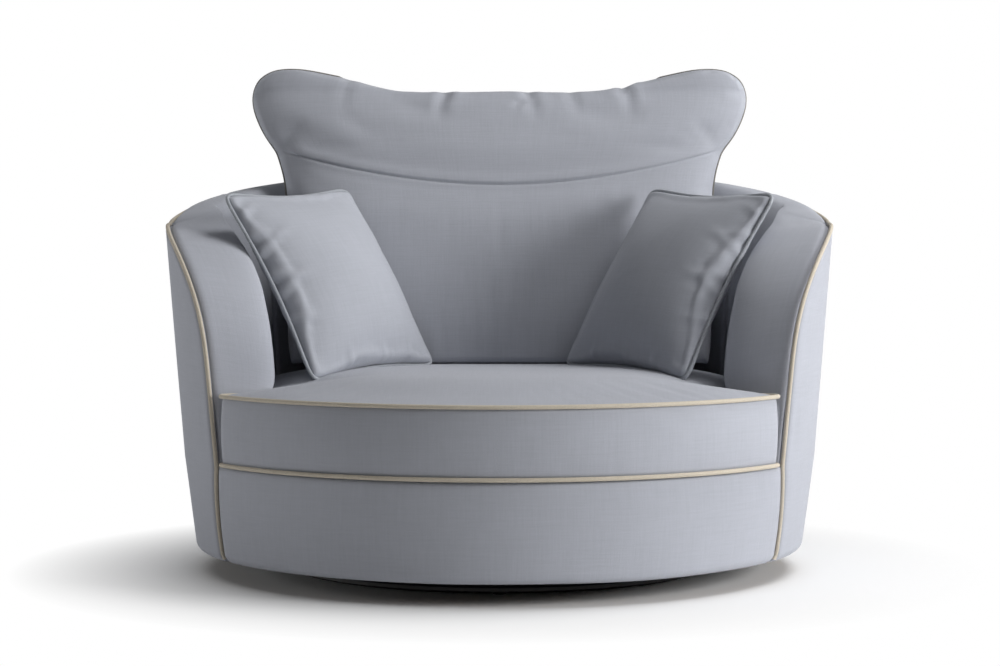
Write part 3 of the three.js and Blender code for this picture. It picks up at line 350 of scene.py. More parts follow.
class Value:
    """A number in a material, open to plain arithmetic."""

    def __init__(self, tree, socket):
        self.tree, self.socket = tree, socket

    def through(self, operation, *others):
        return Value(self.tree, math_node(self.tree, operation, self, *others))

    def __add__(self, other):
        return self.through("ADD", other)

    def __mul__(self, other):
        return self.through("MULTIPLY", other)

    def sine(self):
        return self.through("SINE")


def noise(tree, coordinates, scale, detail=2.0):
    """Noise of a size of its own in each direction; scale is per metre."""
    mapping = node(tree, "ShaderNodeMapping", {"Vector": coordinates, "Scale": scale})
    made = node(tree, "ShaderNodeTexNoise", {"Vector": mapping.outputs[0], "Scale": 1.0, "Detail": detail})
    return Value(tree, made.outputs["Fac"])


def cloth_place(tree):
    """The place on the cloth, whole and as its two parts."""
    uv = node(tree, "ShaderNodeTexCoord").outputs["UV"]
    parts = node(tree, "ShaderNodeSeparateXYZ", {0: uv}).outputs
    return uv, Value(tree, parts[0]), Value(tree, parts[1])


def coloured(tree, bsdf, tone, low, high, **settings):
    """The base colour, from low at a tone of 0 to high at 1."""
    inputs = {"Factor": tone, 6: (*low, 1), 7: (*high, 1)}
    ramp = node(tree, "ShaderNodeMix", inputs, data_type="RGBA", **settings)
    tree.links.new(ramp.outputs[2], bsdf.inputs["Base Color"])


def bumped(tree, bsdf, height, strength, distance):
    bump = node(tree, "ShaderNodeBump", {"Height": height, "Strength": strength, "Distance": distance})
    tree.links.new(bump.outputs[0], bsdf.inputs["Normal"])


def linen(name, colour, pitch=0.0014, contrast=0.11, relief=0.4):
    """Plain-woven linen look: two sets of slubby threads, crossing over and under."""
    material, tree, bsdf = shader(name, 0.93, sheen=0.12, specular=0.25)
    uv, u, v = cloth_place(tree)
    drift = noise(tree, uv, (40, 40, 1)) * 0.6
    warp, weft = u * (math.pi / pitch) + drift, v * (math.pi / pitch) + drift
    lift = (warp * 0.5).sine() * (weft * 0.5).sine() * 0.35 + 0.5
    weave = warp.sine().through("ABSOLUTE") * lift + weft.sine().through("ABSOLUTE") * (lift * -1 + 1)
    slubs = noise(tree, uv, (620, 26, 1)) + noise(tree, uv, (26, 620, 1))
    slubs = slubs + (noise(tree, uv, (210, 9, 1)) + noise(tree, uv, (9, 210, 1)))
    broad = noise(tree, uv, (7, 7, 7), 3.0)
    tone = slubs * (contrast * 0.9) + (1 - contrast * 1.8) + (broad * 0.08 + -0.04)
    tone = tone + (weave * (contrast * 0.6) + -contrast * 0.38)
    coloured(tree, bsdf, tone, (0, 0, 0), colour, clamp_factor=False)
    bumped(tree, bsdf, weave * 0.6 + slubs * 0.5, relief, 0.0007)
    tree.links.new((slubs * 0.05 + 0.83).socket, bsdf.inputs["Roughness"])
    return material


def surface(name, colour, roughness, metallic=0.0, grain=300.0, spread=0.15, relief=0.1, stretch=(1, 1, 1),
            specular=0.5):
    """A plain material with fine grain, drawn out along one axis where it has a direction."""
    material, tree, bsdf = shader(name, roughness, metallic, specular=specular)
    place = node(tree, "ShaderNodeTexCoord").outputs["Object"]
    fine = noise(tree, place, tuple(grain * s for s in stretch), 4.0)
    broad = noise(tree, place, tuple(grain * s / 12 for s in stretch), 3.0)
    dark, light = [c * (1 - spread) for c in colour], [min(c * (1 + spread), 1) for c in colour]
    coloured(tree, bsdf, fine * 0.5 + broad * 0.5, dark, light)
    bumped(tree, bsdf, fine, relief, 0.0006)
    tree.links.new((fine * 0.16 + (roughness - 0.08)).socket, bsdf.inputs["Roughness"])
    return material


def piping_cloth(name, colour, pitch=0.0012):
    """Bias-cut cloth over a cord: fine threads run slantwise across it."""
    material, tree, bsdf = shader(name, 0.9, sheen=0.1, specular=0.25)
    uv, u, v = cloth_place(tree)
    turn = 2 * math.pi / pitch
    weave = ((u + v) * turn).sine() * ((u + v * -1) * turn).sine()
    tone = noise(tree, uv, (260, 260, 1), 3.0) * 0.24 + 0.82
    tone = tone + (noise(tree, uv, (18, 40, 1)) * 0.14 + -0.06)
    coloured(tree, bsdf, tone, (0, 0, 0), colour, clamp_factor=False)
    bumped(tree, bsdf, weave, 0.4, 0.0004)
    return material


linen_blue = linen("linen_blue", (0.407, 0.421, 0.468))
linen_scatter = linen("linen_scatter", (0.406, 0.421, 0.466))
cream_cord = piping_cloth("cream_cord", (0.62, 0.555, 0.455))
grey_cord = piping_cloth("grey_cord", (0.40, 0.42, 0.455))
taupe_cord = piping_cloth("taupe_cord", (0.22, 0.21, 0.19))
black_cloth = surface("black_cloth", (0.012, 0.012, 0.013), 0.9, grain=900, relief=0.3, specular=0.3)
webbing_cloth = surface("webbing_cloth", (0.045, 0.038, 0.032), 0.88, grain=500, relief=0.4,
                        stretch=(1, 0.3, 1))
black_steel = surface("black_steel", (0.010, 0.010, 0.011), 0.48, metallic=0.1, grain=800, relief=0.12)
zinc_steel = surface("zinc_steel", (0.42, 0.43, 0.44), 0.38, metallic=1.0, grain=260, relief=0.08,
                     stretch=(1, 0.06, 1))
glide_plastic = surface("glide_plastic", (0.012, 0.012, 0.012), 0.62, grain=700, relief=0.1)
timber = surface("timber", (0.45, 0.27, 0.13), 0.66, grain=120, spread=0.3, relief=0.25, stretch=(1, 1, 0.06))


# The tub's plan and heights, as in the part

def plan(radius, angle, z):
    y = -radius * np.cos(angle)
    y = np.where(y > 0, y * SQUASH, y)
    return np.stack(np.broadcast_arrays(radius * np.sin(angle), y, z), axis=-1)


def outer_radius(z):
    z = np.asarray(z, float)
    low = lerp(FOOT_RADIUS, SEAT_RADIUS, share_of(z, FOOT_Z, SEAT_Z))
    high = lerp(SEAT_RADIUS, RIM_RADIUS, (z - SEAT_Z) / (RIM_FRONT_Z - SEAT_Z))
    return np.where(z < SEAT_Z, low, high)


def front_depth(z):
    z = np.asarray(z, float)
    low = FOOT_DEPTH + (ARM_DEPTH - FOOT_DEPTH) * share_of(z, FOOT_Z, SEAT_Z) ** 2
    rise = share_of(z, CORNER_START_Z, RIM_FRONT_Z)
    high = ARM_DEPTH * np.sqrt(np.maximum(1 - rise ** 3, 0))
    return np.where(z < SEAT_Z, low, high)


def rim_height(angle):
    turn = np.where(angle > np.pi, 2 * np.pi - angle, np.abs(angle))
    along = share_of(turn, RIM_LEVEL, np.pi)
    return RIM_FRONT_Z + (RIM_BACK_Z - RIM_FRONT_Z) * (1 - (1 - along) ** 2)


def front_angle(radius, depth):
    return np.arccos(np.clip(depth / radius, -1, 1))


def mirror(grid):
    return grid * np.array([-1.0, 1.0, 1.0])


# Outer panels, border and rim piping

HEM_TURNS = np.linspace(0, math.pi / 2, 7)
LOW_ZS = np.linspace(FOOT_Z, SEAT_Z, 12)[1:-1]
LEVELS = 1 - (1 - np.linspace(0, 1, 46)) ** 1.35
HEM = 0.010
# Height and length of the slow waves in stretched cloth; depth and width of its fall into a seam
PANEL_WAVES, PAD_WAVES = (0.0012, 0.35), (0.0015, 0.3)
PANEL_TUCK, PAD_TUCK = (0.003, 0.010), (0.0020, 0.008)


def hem_point(turn):
    """Radius and height on the rounded edge from the underside up to the foot."""
    return (UNDER_RADIUS + (FOOT_RADIUS - UNDER_RADIUS) * math.sin(turn),
            UNDERSIDE + (FOOT_Z - UNDERSIDE) * (1 - math.cos(turn)))


def shell_grid(shares, first_of, last):
    """The shell's skin from hem to rim: one row for each height, one column for each share."""
    rows = []
    for turn in HEM_TURNS:
        radius, z = hem_point(turn)
        first = first_of(radius + PROUD, FOOT_DEPTH)
        rows.append(plan(radius + PROUD, first + shares * (last - first), z))
    for z in LOW_ZS:
        radius = outer_radius(z) + PROUD
        first = first_of(radius, front_depth(z))
        rows.append(plan(radius, first + shares * (last - first), z))
    for level in LEVELS:
        nominal = lerp(SEAT_Z, RIM_FRONT_Z, level)
        first = first_of(outer_radius(nominal) + PROUD, front_depth(nominal))
        angle = first + shares * (last - first)
        z = lerp(SEAT_Z, rim_height(angle), level)
        rows.append(plan(outer_radius(z) + PROUD, angle, z - level * RIM_DROP))
    return np.array(rows)


def radial(points, amount):
    flat = points * np.array([1.0, 1.0, 0.0])
    return amount * flat / np.linalg.norm(flat, axis=-1, keepdims=True)


SHELL_TURNS = {edge: lambda points: radial(points, -HEM) for edge in ("left", "right", "high")}


def front_hem(points):
    """Back into the arm low down, and down into it where the edge runs back along the arm's top."""
    high = smooth(share_of(points[..., 2:], 0.64, 0.672))
    return np.concatenate([0 * high, HEM * (1 - high), -0.012 * high], axis=-1)


PAD_TURNS = {"left": front_hem, "right": lambda points: radial(points, HEM),
             "high": lambda points: np.array([0.0, 0.0, -HEM])}


def tuck(grid, depth, width, turns, facing=1):
    """Draws the cloth down into the seams along the named edges and turns a hem under."""
    across, up = lengths(grid, 1), lengths(grid, 0)
    away = {"left": across, "right": across[:, -1:] - across, "low": up, "high": up[-1:] - up}
    sink = np.zeros(grid.shape[:2])
    for edge in turns:
        sink = np.maximum(sink, (1 - share_of(away[edge], 0, width)) ** 2)
    out = grid - normals_of(grid, facing) * (depth * sink)[..., None]
    for edge, turn in turns.items():
        axis = 1 if edge in ("left", "right") else 0
        last = edge in ("right", "high")
        hem = np.take(out, [-1 if last else 0], axis=axis)
        hem = hem + turn(hem)
        out = np.concatenate([out, hem] if last else [hem, out], axis=axis)
    return out


def soft_waves(grid, height, size, seed):
    """Gentle unevenness of stretched cloth, square to the surface."""
    rng = np.random.default_rng(seed)
    normal = normals_of(grid)
    total = np.zeros(grid.shape[:2])
    for _ in range(7):
        direction = rng.normal(size=3)
        direction /= np.linalg.norm(direction)
        wave = 2 * np.pi / (size * rng.uniform(0.7, 1.6))
        total += np.sin(grid @ direction * wave + rng.uniform(0, 6.3)) / 7
    return grid + normal * (height * total)[..., None]


arm_shares = smooth(np.linspace(0, 1, 60)) * 0.35 + np.linspace(0, 1, 60) * 0.65
back_start = SPLIT + SEAM_GAP
arm_shell = shell_grid(arm_shares, front_angle, SPLIT - SEAM_GAP)
back_shell = shell_grid(np.linspace(0, 1, 90), lambda radius, depth: back_start, 2 * math.pi - back_start)
for label, grid, seed in (("right", arm_shell, 11), ("left", arm_shell, 12), ("back", back_shell, 13)):
    grid = tuck(soft_waves(grid, *PANEL_WAVES, seed), *PANEL_TUCK, SHELL_TURNS)
    sheet = Cloth().add(mirror(grid) if label == "left" else grid, uv=cloth_uv(grid))
    piece = sheet.build(f"panel_cloth_{label}", linen_blue)
    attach(piece, "tub")
    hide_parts(f"outer_panel_{label}")

BORDER_INSET, BORDER_TOP_Z = 0.0082, 0.224


def border_grid():
    """The front below the seat cushion, between the arms' edges."""
    shares = np.linspace(-1, 1, 110)
    rows = []
    for turn in HEM_TURNS:
        radius, z = hem_point(turn)
        rows.append(plan(radius, shares * front_angle(radius, FOOT_DEPTH + BORDER_INSET), z))
    for z in np.linspace(FOOT_Z, BORDER_TOP_Z, 26)[1:]:
        radius = outer_radius(z)
        rows.append(plan(radius, shares * front_angle(radius, front_depth(z) + BORDER_INSET), z))
    return np.array(rows)


grid = tuck(soft_waves(border_grid(), *PAD_WAVES, 14), *PANEL_TUCK, SHELL_TURNS)
piece = Cloth().add(grid).build("border_cloth", linen_blue)
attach(piece, "tub")
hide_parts("front_border")

# The cord starts above the underside, and sinks a little into its seam past the front of each arm.
CORD_START, CORD_SINK, SINK_ANGLE = 0.006, 0.0035, 0.22


def rim_path():
    """Up the front of the right arm, round the rim and down the front of the left one."""
    low = []
    for z in np.linspace(UNDERSIDE + CORD_START, SEAT_Z, 14)[:-1]:
        radius = float(outer_radius(z)) if z > FOOT_Z else FOOT_RADIUS - (FOOT_Z - z) / 3
        low.append(plan(radius - PIPING, front_angle(radius - PIPING, float(front_depth(z))), z))
    edge = []
    for level in LEVELS:
        nominal = lerp(SEAT_Z, RIM_FRONT_Z, level)
        angle = front_angle(outer_radius(nominal) - PIPING, front_depth(nominal))
        z = lerp(SEAT_Z, rim_height(angle), level)
        edge.append(plan(outer_radius(z) - PIPING, angle, z - level * RIM_DROP))
    start = float(front_angle(RIM_RADIUS, 0.0))
    arc = []
    for angle in np.linspace(start, 2 * math.pi - start, 90)[1:-1]:
        z = float(rim_height(angle))
        past = share_of(min(angle, 2 * math.pi - angle), start, start + SINK_ANGLE)
        under = CORD_SINK * float(smooth(past))
        arc.append(plan(float(outer_radius(z)) - PIPING - 0.7 * under, angle, z - RIM_DROP - under))
    right = np.array(low + edge)
    path = np.vstack([right, np.array(arc), mirror(right)[::-1]])
    path = path + radial(path, PROUD)
    lift = np.cross(radial(path, 1), np.gradient(path, axis=0))
    return path + unit(lift) * (PIPING + CORD_GAP)


piece = tube("rim_cord", rim_path(), CORD, cream_cord)
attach(piece, "tub")
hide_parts("rim_piping")


# Pads inside the arms and the back

CREST_SHARES = (0.2, 0.4, 0.58, 0.72, 0.83, 0.91, 0.96, 1.0)
# How much fuller the rolled top is than the solid under it, and how its crest rises, falls and stops short
ROLL_PUFF, CREST_RISE, CREST_FALL, CREST_INSET = 0.004, 0.0045, 0.0075, 0.0060


def pad_profile(top):
    """The pad's section from the seat to the rim: radius and height for each rim height."""
    top = np.asarray(top, float)
    shoulder = top - ROLL_HEIGHT
    rows = []
    for s in np.linspace(0, 1, 14)[:-1]:
        radius = PAD_BASE + (PAD_SHOULDER - PAD_BASE) * s ** 0.9
        rows.append((radius + 0 * top, lerp(PAD_BOTTOM_Z, shoulder, s)))
    crest = PAD_SHOULDER + ROLL_WIDTH
    for t in np.linspace(0, math.pi / 2, 18):
        height = shoulder + (ROLL_HEIGHT + ROLL_PUFF) * math.sin(t)
        rows.append((crest - ROLL_WIDTH * math.cos(t) + 0 * top, height))
    for s in CREST_SHARES:
        outer = outer_radius(top) + PROUD - CREST_INSET
        rows.append((lerp(crest, outer, s), top + CREST_RISE - CREST_FALL * s ** 6))
    return rows


# The front of the arm slants back by these depths, low beside the cushion and above it.
LOW_SLANT, HIGH_SLANT, SLANT_ZS = 0.062, 0.096, (0.325, 0.362)
LOBE_INSET, LOBE_PUFF, LOBE_LEVEL_Z, LOBE_FADE = 0.0078, 0.005, 0.6745, 0.30
LOBE_TURNS = np.radians(90 * np.linspace(0, 1, 22) ** 1.25)


def lobe_fullness(z):
    """How far the front of the arm bulges inward of the arm behind it, at a height."""
    return float(np.interp(z, (0.335, 0.362, 0.476, 0.531, 0.579, 0.617, 0.647, 0.664, 0.674, 0.682),
                           (0.0, 0.037, 0.038, 0.038, 0.039, 0.042, 0.042, 0.043, 0.034, 0.018)))


def arm_pad_grid():
    """From the piping across the slanting front of the arm, round into the seat and back along the arm."""
    last = SPLIT - SEAM_GAP
    profile = pad_profile(RIM_FRONT_Z)
    rows = []
    for k, (radius, z) in enumerate(profile):
        radius, z = float(radius), float(z)
        crest = max(k - (len(profile) - len(CREST_SHARES)) + 1, 0)
        full = lobe_fullness(z) * (1 - (CREST_SHARES[crest - 1] if crest else 0.0))
        edge = float(outer_radius(z)) + PROUD - LOBE_INSET
        depth = 0.0 if crest else float(front_depth(z))
        slanted = smooth(float(share_of(z, *SLANT_ZS)))
        start = depth - lerp(LOW_SLANT, HIGH_SLANT, slanted)
        row = []
        for turn in LOBE_TURNS:
            q = math.sin(turn) ** 0.8
            r = lerp(edge, radius - full, q)
            square = math.cos(turn) ** 0.7 if turn < math.pi / 2 - 1e-6 else 0.0
            slant = 1 - 0.74 * q - 0.26 * (1 - math.sqrt(max(1 - q ** 6, 0)))
            puff = LOBE_PUFF * max(math.sin(2 * turn), 0) ** 0.5
            height = z - max(z - LOBE_LEVEL_Z, 0) * (1 - q ** 0.7)
            angle = float(front_angle(r, lerp(start, depth, lerp(square, slant, slanted)) + puff))
            rise = float(pad_profile(rim_height(angle))[k][1]) - z
            row.append(plan(r, angle, height + rise))
        begin = float(front_angle(radius - full, start))
        for s in np.linspace(0, 1, 42)[1:]:
            angle = begin + s * (last - begin)
            r, height = pad_profile(rim_height(angle))[k]
            fading = full * (1 - smooth(min(s / LOBE_FADE, 1)))
            row.append(plan(float(r) - fading, angle, float(height)))
        rows.append(row)
    return np.array(rows)


# Puckers where the cloth turns over the arm's front beside the piping, and its dip into the seam there
PUCKER_HEIGHT, PUCKER_PITCH, PUCKER_REACH = 0.0018, 0.0145, 0.016
DIP_DEPTH, DIP_REACH, DIP_TOP_Z = 0.0045, 0.006, 0.681

arm_grid = arm_pad_grid()
for side, label in ((1, "right"), (-1, "left")):
    grid = soft_waves(arm_grid, *PAD_WAVES, 21 if side > 0 else 22)
    along, into, edge_z = lengths(grid, 0)[:, :1], lengths(grid, 1), grid[:, :1, 2]
    window = smooth(share_of(edge_z, 0.53, 0.60)) * (1 - smooth(share_of(edge_z, 0.650, 0.672)))
    ripple = np.sin(2 * np.pi * along / PUCKER_PITCH + 2.1 * np.sin(along * 60))
    pucker = PUCKER_HEIGHT * ripple * window * np.exp(-(into / PUCKER_REACH) ** 2)
    grid = grid + normals_of(grid, -1) * pucker[..., None]
    dip = np.exp(-(into / DIP_REACH) ** 2) * (grid[:, :1, 2] < DIP_TOP_Z)
    grid = grid - normals_of(grid, -1) * (DIP_DEPTH * dip)[..., None]
    grid = tuck(grid, *PAD_TUCK, PAD_TURNS, facing=-1)
    sheet = Cloth().add(grid if side > 0 else mirror(grid), uv=cloth_uv(grid))
    piece = sheet.build(f"arm_cloth_{label}", linen_blue)
    subdivide(piece)
    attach(piece, "tub")
    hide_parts(f"arm_pad_{label}")

angles = np.linspace(SPLIT + SEAM_GAP, 2 * math.pi - SPLIT - SEAM_GAP, 90)
grid = np.array([plan(r, angles, z) for r, z in pad_profile(rim_height(angles))])
back_turns = PAD_TURNS | {"left": PAD_TURNS["right"]}
grid = tuck(soft_waves(grid, *PAD_WAVES, 23), *PAD_TUCK, back_turns, facing=-1)
piece = Cloth().add(grid).build("back_cloth", linen_blue)
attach(piece, "tub")
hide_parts("back_pad")


# Seat cushion

def seat_outline(front_radius=0.615, side_radius=0.496, half=0.513, depth=0.327, inner_depth=0.282,
                 turn=0.009, spacing=0.009):
    """The T-shaped plan, anticlockwise from the middle of the front."""
    corner = math.asin(half / front_radius)
    notch = float(front_angle(side_radius, inner_depth))
    front = [plan(front_radius, a, 0.0) for a in np.linspace(0, corner, 60)]
    tip = np.array([half - turn, -depth, 0.0])
    inner = plan(side_radius, notch, 0.0)
    ear = [lerp(front[-1], tip, s) for s in np.linspace(0, 1, 4)[1:]]
    back_of_ear = [lerp(tip, inner, s) for s in np.linspace(0, 1, 14)[1:]]
    side = [plan(side_radius, a, 0.0) for a in np.linspace(notch, math.pi, 100)[1:]]
    right = np.array(front + ear + back_of_ear + side)
    whole = np.vstack([right, mirror(right)[::-1][1:]])
    run = lengths(whole[None], 1)[0]
    wanted = np.linspace(0, run[-1], int(run[-1] / spacing), endpoint=False)
    even = at_lengths(whole, run, wanted)
    return 0.6 * even + 0.2 * (np.roll(even, 1, 0) + np.roll(even, -1, 0))


def edge_distance(points, outline):
    flat, ring = points[..., :2].reshape(-1, 2), outline[:, :2]
    after = np.roll(ring, -1, 0)
    best = np.full(len(flat), 1e9)
    for a, b in zip(ring, after):
        span = b - a
        t = np.clip(((flat - a) @ span) / (span @ span), 0, 1)
        gap = np.linalg.norm(flat - (a + t[:, None] * span), axis=1)
        best = np.minimum(best, gap)
    return best.reshape(points.shape[:-1])


def relax(heights, times):
    """Evens out heights over a ring-and-spoke grid, leaving the outer ring alone."""
    for _ in range(times):
        around = 0.5 * (np.roll(heights, 1, 1) + np.roll(heights, -1, 1))
        inner = heights.copy()
        inner[1:-1] = 0.25 * (heights[:-2] + heights[2:]) + 0.5 * around[1:-1]
        inner[0] = inner[1].mean()
        heights = 0.5 * heights + 0.5 * inner
    return heights


def outward_of(outline):
    """Directions square to a flat closed outline, away from its middle."""
    return unit(np.cross(np.roll(outline, -1, 0) - np.roll(outline, 1, 0), (0, 0, 1.0)))


def rings_in(outline, middle_y, rings):
    """The outline drawn in towards a middle point, once for each share."""
    middle = np.array([0.0, middle_y, 0.0])
    return middle + rings[:, None, None] * (outline - middle)


def closed_cover(top, bottom, wall, outline):
    """Top, bottom and wall as one cover; the outline gives the wall's UVs."""
    run = lengths(np.vstack([outline, outline[:1]])[None], 1)[0]
    wall_uv = np.stack(np.broadcast_arrays(run[None, :-1], wall[..., 2]), axis=-1)
    cover = Cloth().add(top[:, ::-1], uv=top[:, ::-1, :2], wrap=True, flip=True)
    return cover.add(bottom, uv=bottom[..., :2], wrap=True, flip=True).add(wall, uv=wall_uv, wrap=True)


# How far in the seat's top is soft, its wall's bulge, and how far its edge lies under the cord's middle
SEAT_SOFT_WIDTH, WALL_BULGE, COVER_DROP = 0.26, 0.004, 0.001


def seat_cover(outline):
    """Top, bottom and wall of the cover."""
    rings = 1 - (1 - np.linspace(0, 1, 40)) ** 1.6
    top = rings_in(outline, -0.30, rings)
    away = edge_distance(top, outline)
    rise = relax(1 - (1 - share_of(away, 0, SEAT_SOFT_WIDTH)) ** 2.4, 30)
    rise = np.where(rings[:, None] > 0.985, rise * share_of(away, 0, 0.004), rise)
    rise *= 1 - 0.2 * smooth(share_of(top[..., 1], -0.15, 0.20))
    top[..., 2] = SEAT_EDGE_Z - COVER_DROP + SEAT_CROWN * rise
    bottom = rings_in(outline, -0.30, rings[::2])
    bottom[-1] = outline
    bottom[..., 2] = SEAT_BOTTOM_Z - 0.003 * share_of(edge_distance(bottom, outline), 0, 0.03)
    outward = outward_of(outline)
    wall = []
    for s in np.linspace(0, 1, 14):
        ring = outline + outward * WALL_BULGE * 4 * s * (1 - s)
        ring[:, 2] = lerp(SEAT_BOTTOM_Z, SEAT_EDGE_Z - COVER_DROP, s)
        wall.append(ring)
    return top, bottom, np.array(wall)


outline = seat_outline()
seat = closed_cover(*seat_cover(outline), outline).build("seat_cushion", linen_blue)
at = points_of(seat.data)
inward = edge_distance(at, outline)
high_edge = (inward < 0.0012) & (at[:, 2] > SEAT_EDGE_Z - 0.004)
sewn = high_edge | (at[:, 2] < SEAT_BOTTOM_Z + 0.002)
puff = settle(seat, np.flatnonzero(sewn), pressure=2.5, extra=0.003, frames=14, cap=0.007)
# The middle of the top stays calm and only rises as a whole.
calm = (smooth(share_of(inward, 0.06, 0.20)) * (at[:, 2] > SEAT_EDGE_Z))[:, None]
put_points(seat.data, at + puff * (1 - calm) + calm * puff[calm[:, 0] > 0.9].mean(0))
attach(seat, "seat_cushion")
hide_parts("seat_cushion_cover", "seat_cushion_core", "seat_cushion_zip")
for label, z in (("top", SEAT_EDGE_Z), ("bottom", SEAT_BOTTOM_Z)):
    path = outline + outward_of(outline) * (PIPING + CORD_GAP)
    path[:, 2] = z
    piece = tube(f"seat_cord_{label}", path, CORD, cream_cord, closed=True)
    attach(piece, "seat_cushion")
    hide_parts(f"seat_piping_{label}")

# The platform pad under the cushion: thin, soft at its edges
EDGE_FALL, EDGE_WIDTH, QUILT_HEIGHT, QUILT_TURN = 0.005, 0.016, 0.0008, 40
pad_low, pad_high = (corner[2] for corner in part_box("platform_pad"))
outline = seat_outline(front_radius=0.590, side_radius=0.495, half=0.4925, depth=0.3225,
                       inner_depth=0.3225, turn=0.006, spacing=0.012)
flat = rings_in(outline, -0.20, 1 - (1 - np.linspace(0, 1, 30)) ** 1.5)
fall = (1 - share_of(edge_distance(flat, outline), 0, EDGE_WIDTH)) ** 2
quilted = QUILT_HEIGHT * np.sin(QUILT_TURN * flat[..., 0]) * np.sin(QUILT_TURN * flat[..., 1])
upper, under = flat.copy(), flat.copy()
upper[..., 2] = pad_high - 0.0012 - EDGE_FALL * fall + quilted * (1 - fall)
under[..., 2] = pad_low + 0.0004 + EDGE_FALL * fall
outward = outward_of(outline)
wall = np.array([lerp(under[-1], upper[-1], s) + outward * WALL_BULGE * math.sin(math.pi * s) ** 0.6
                 for s in np.linspace(0, 1, 9)])
pad = closed_cover(upper, under, wall, outline).build("platform_cloth", black_cloth)
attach(pad, "tub")
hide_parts("platform_pad")

# The dust cover stapled under the bottom board
DUST_INNER, DUST_OUTER, DUST_SAG, DUST_RIPPLE = 0.233, 0.5515, 0.0012, 0.0003
cover_z = 0.5 * sum(corner[2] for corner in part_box("dust_cover"))
around = np.linspace(0, 2 * math.pi, 121)[:-1]
rows = []
for s in np.linspace(0, 1, 16):
    sag = DUST_SAG * math.sin(math.pi * s) * (1 + 0.5 * np.sin(9 * around))
    sag = sag + DUST_RIPPLE * np.sin(30 * around) * s ** 4
    rows.append(plan(lerp(DUST_INNER, DUST_OUTER, s), around, cover_z + 0.0004 - sag))
rows = np.array(rows)
dust = Cloth().add(rows, uv=rows[..., :2], wrap=True).build("dust_cloth", black_cloth)
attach(dust, "tub")
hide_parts("dust_cover")


# Back cushion

# The right half of its face, as half widths and heights: up the side to the ear's tip, then in along the top
HALF_WIDTH = 0.424
SIDE = [(HALF_WIDTH, BACK_BOTTOM_Z), (0.430, 0.52), (0.434, 0.62), (0.4365, 0.722), (0.4405, 0.770),
        (0.4465, 0.800), (0.4575, 0.828), (0.4845, 0.862), (0.5010, 0.893), (0.5110, 0.926),
        (0.5085, 0.954), (0.4950, 0.9765)]
TOP = [(0.4950, 0.9765), (0.4750, 0.9905), (0.4480, 0.9965), (0.4150, 0.9960), (0.3560, 0.9845),
       (0.2900, 0.9710), (0.2350, 0.9610), (0.1700, 0.9560), (0.0900, 0.9555), (0.0, 0.9570)]
SEAM_END_Z, SEAM_Z, HEAD_Z = 0.832, 0.757, 0.948
# At the bottom and at the head: how far back the face stands, how thick the cushion is at its sides, and how
# much thicker in the middle
LEAN, THICKNESS, CROWN = (0.145, 0.341), (0.104, 0.050), (0.222, 0.060)
WALL_GAP, WALL_PUFF = 0.007, 0.010


def flat_curve(points, count=0, shares=None):
    return resample(np.array([(x, 0.0, z) for x, z in points]), count, shares=shares)


def split_side():
    """The side edge, cut where the seam meets it."""
    side = flat_curve(SIDE, 400)
    at = int(np.argmin(np.abs(side[:, 2] - SEAM_END_Z)))
    return side[:at + 1:8], side[at::8]


def coons(low, high, left, right, up):
    """A patch between four curves; rows go from low to high at the shares in up."""
    t = up[:, None, None]
    s = ((across + 1) / 2)[None, :, None]
    ruled = (1 - t) * low[None] + t * high[None]
    crossed = (1 - s) * left[:, None] + s * right[:, None]
    corners = ((1 - t) * ((1 - s) * low[0] + s * low[-1]) + t * ((1 - s) * high[0] + s * high[-1]))
    return ruled + crossed - corners


# Rows and columns of the face lie closer together towards the seam and the sides.
across = np.sin(np.linspace(-1, 1, 93) * math.radians(76)) / math.sin(math.radians(76))
LOW_SHARES = 1 - (1 - np.linspace(0, 1, 36)) ** 1.35
HIGH_SHARES = 0.5 * (1 - np.cos(np.pi * np.linspace(0, 1, 31))) * 0.75 + 0.25 * np.linspace(0, 1, 31)
side_low, side_high = split_side()
right_low = resample(side_low, 0, shares=LOW_SHARES)
right_high = resample(np.vstack([side_low[-1], side_high[1:]]), 0, shares=HIGH_SHARES)
top_curve = flat_curve([(-x, z) for x, z in TOP] + TOP[::-1][1:], shares=(across + 1) / 2)
reach, end_z = right_low[-1][0], right_low[-1][2]
seam_rise = (end_z - SEAM_Z) * np.abs(across) ** 1.88
seam_curve = np.stack([across * reach, 0 * across, SEAM_Z + seam_rise], axis=-1)
low_curve = np.stack([across * HALF_WIDTH, 0 * across, BACK_BOTTOM_Z + 0 * across], axis=-1)
face_low = coons(low_curve, seam_curve, mirror(right_low), right_low, LOW_SHARES)
face_high = coons(seam_curve, top_curve, mirror(right_high), right_high, HIGH_SHARES)
face = np.vstack([face_low, face_high[1:]])
part = np.concatenate([LOW_SHARES, HIGH_SHARES[1:]])
SEAM_ROW = len(LOW_SHARES) - 1
low_row = np.arange(len(face)) <= SEAM_ROW


def back_depths(face):
    """How far back the face and the reverse of the back cushion lie."""
    z, side = face[..., 2], np.abs(across)[None, :]
    lean = lerp(*LEAN, share_of(z, BACK_BOTTOM_Z, HEAD_Z))
    low_swell = 0.020 + 0.032 * np.sin(np.pi * np.clip(0.10 + 0.62 * part, 0, 1)) ** 0.8
    high_swell = low_swell[SEAM_ROW] * np.maximum(1 - part ** 1.15, 0) ** 0.7
    swell = np.where(low_row, low_swell, high_swell)[:, None]
    high = share_of(z, SEAM_Z, HEAD_Z)
    depth = lerp(*THICKNESS, share_of(z, BACK_BOTTOM_Z, 0.58)) + 0.014 * high
    crown = lerp(*CROWN, high) * (1 - 0.3 * share_of(z, 0.93, 0.997))
    free = lean + depth + crown * (1 - side ** 2)
    return lean - swell * (1 - side ** 5) ** 0.8, np.minimum(free, wall_y(face[..., 0], z) - WALL_GAP)


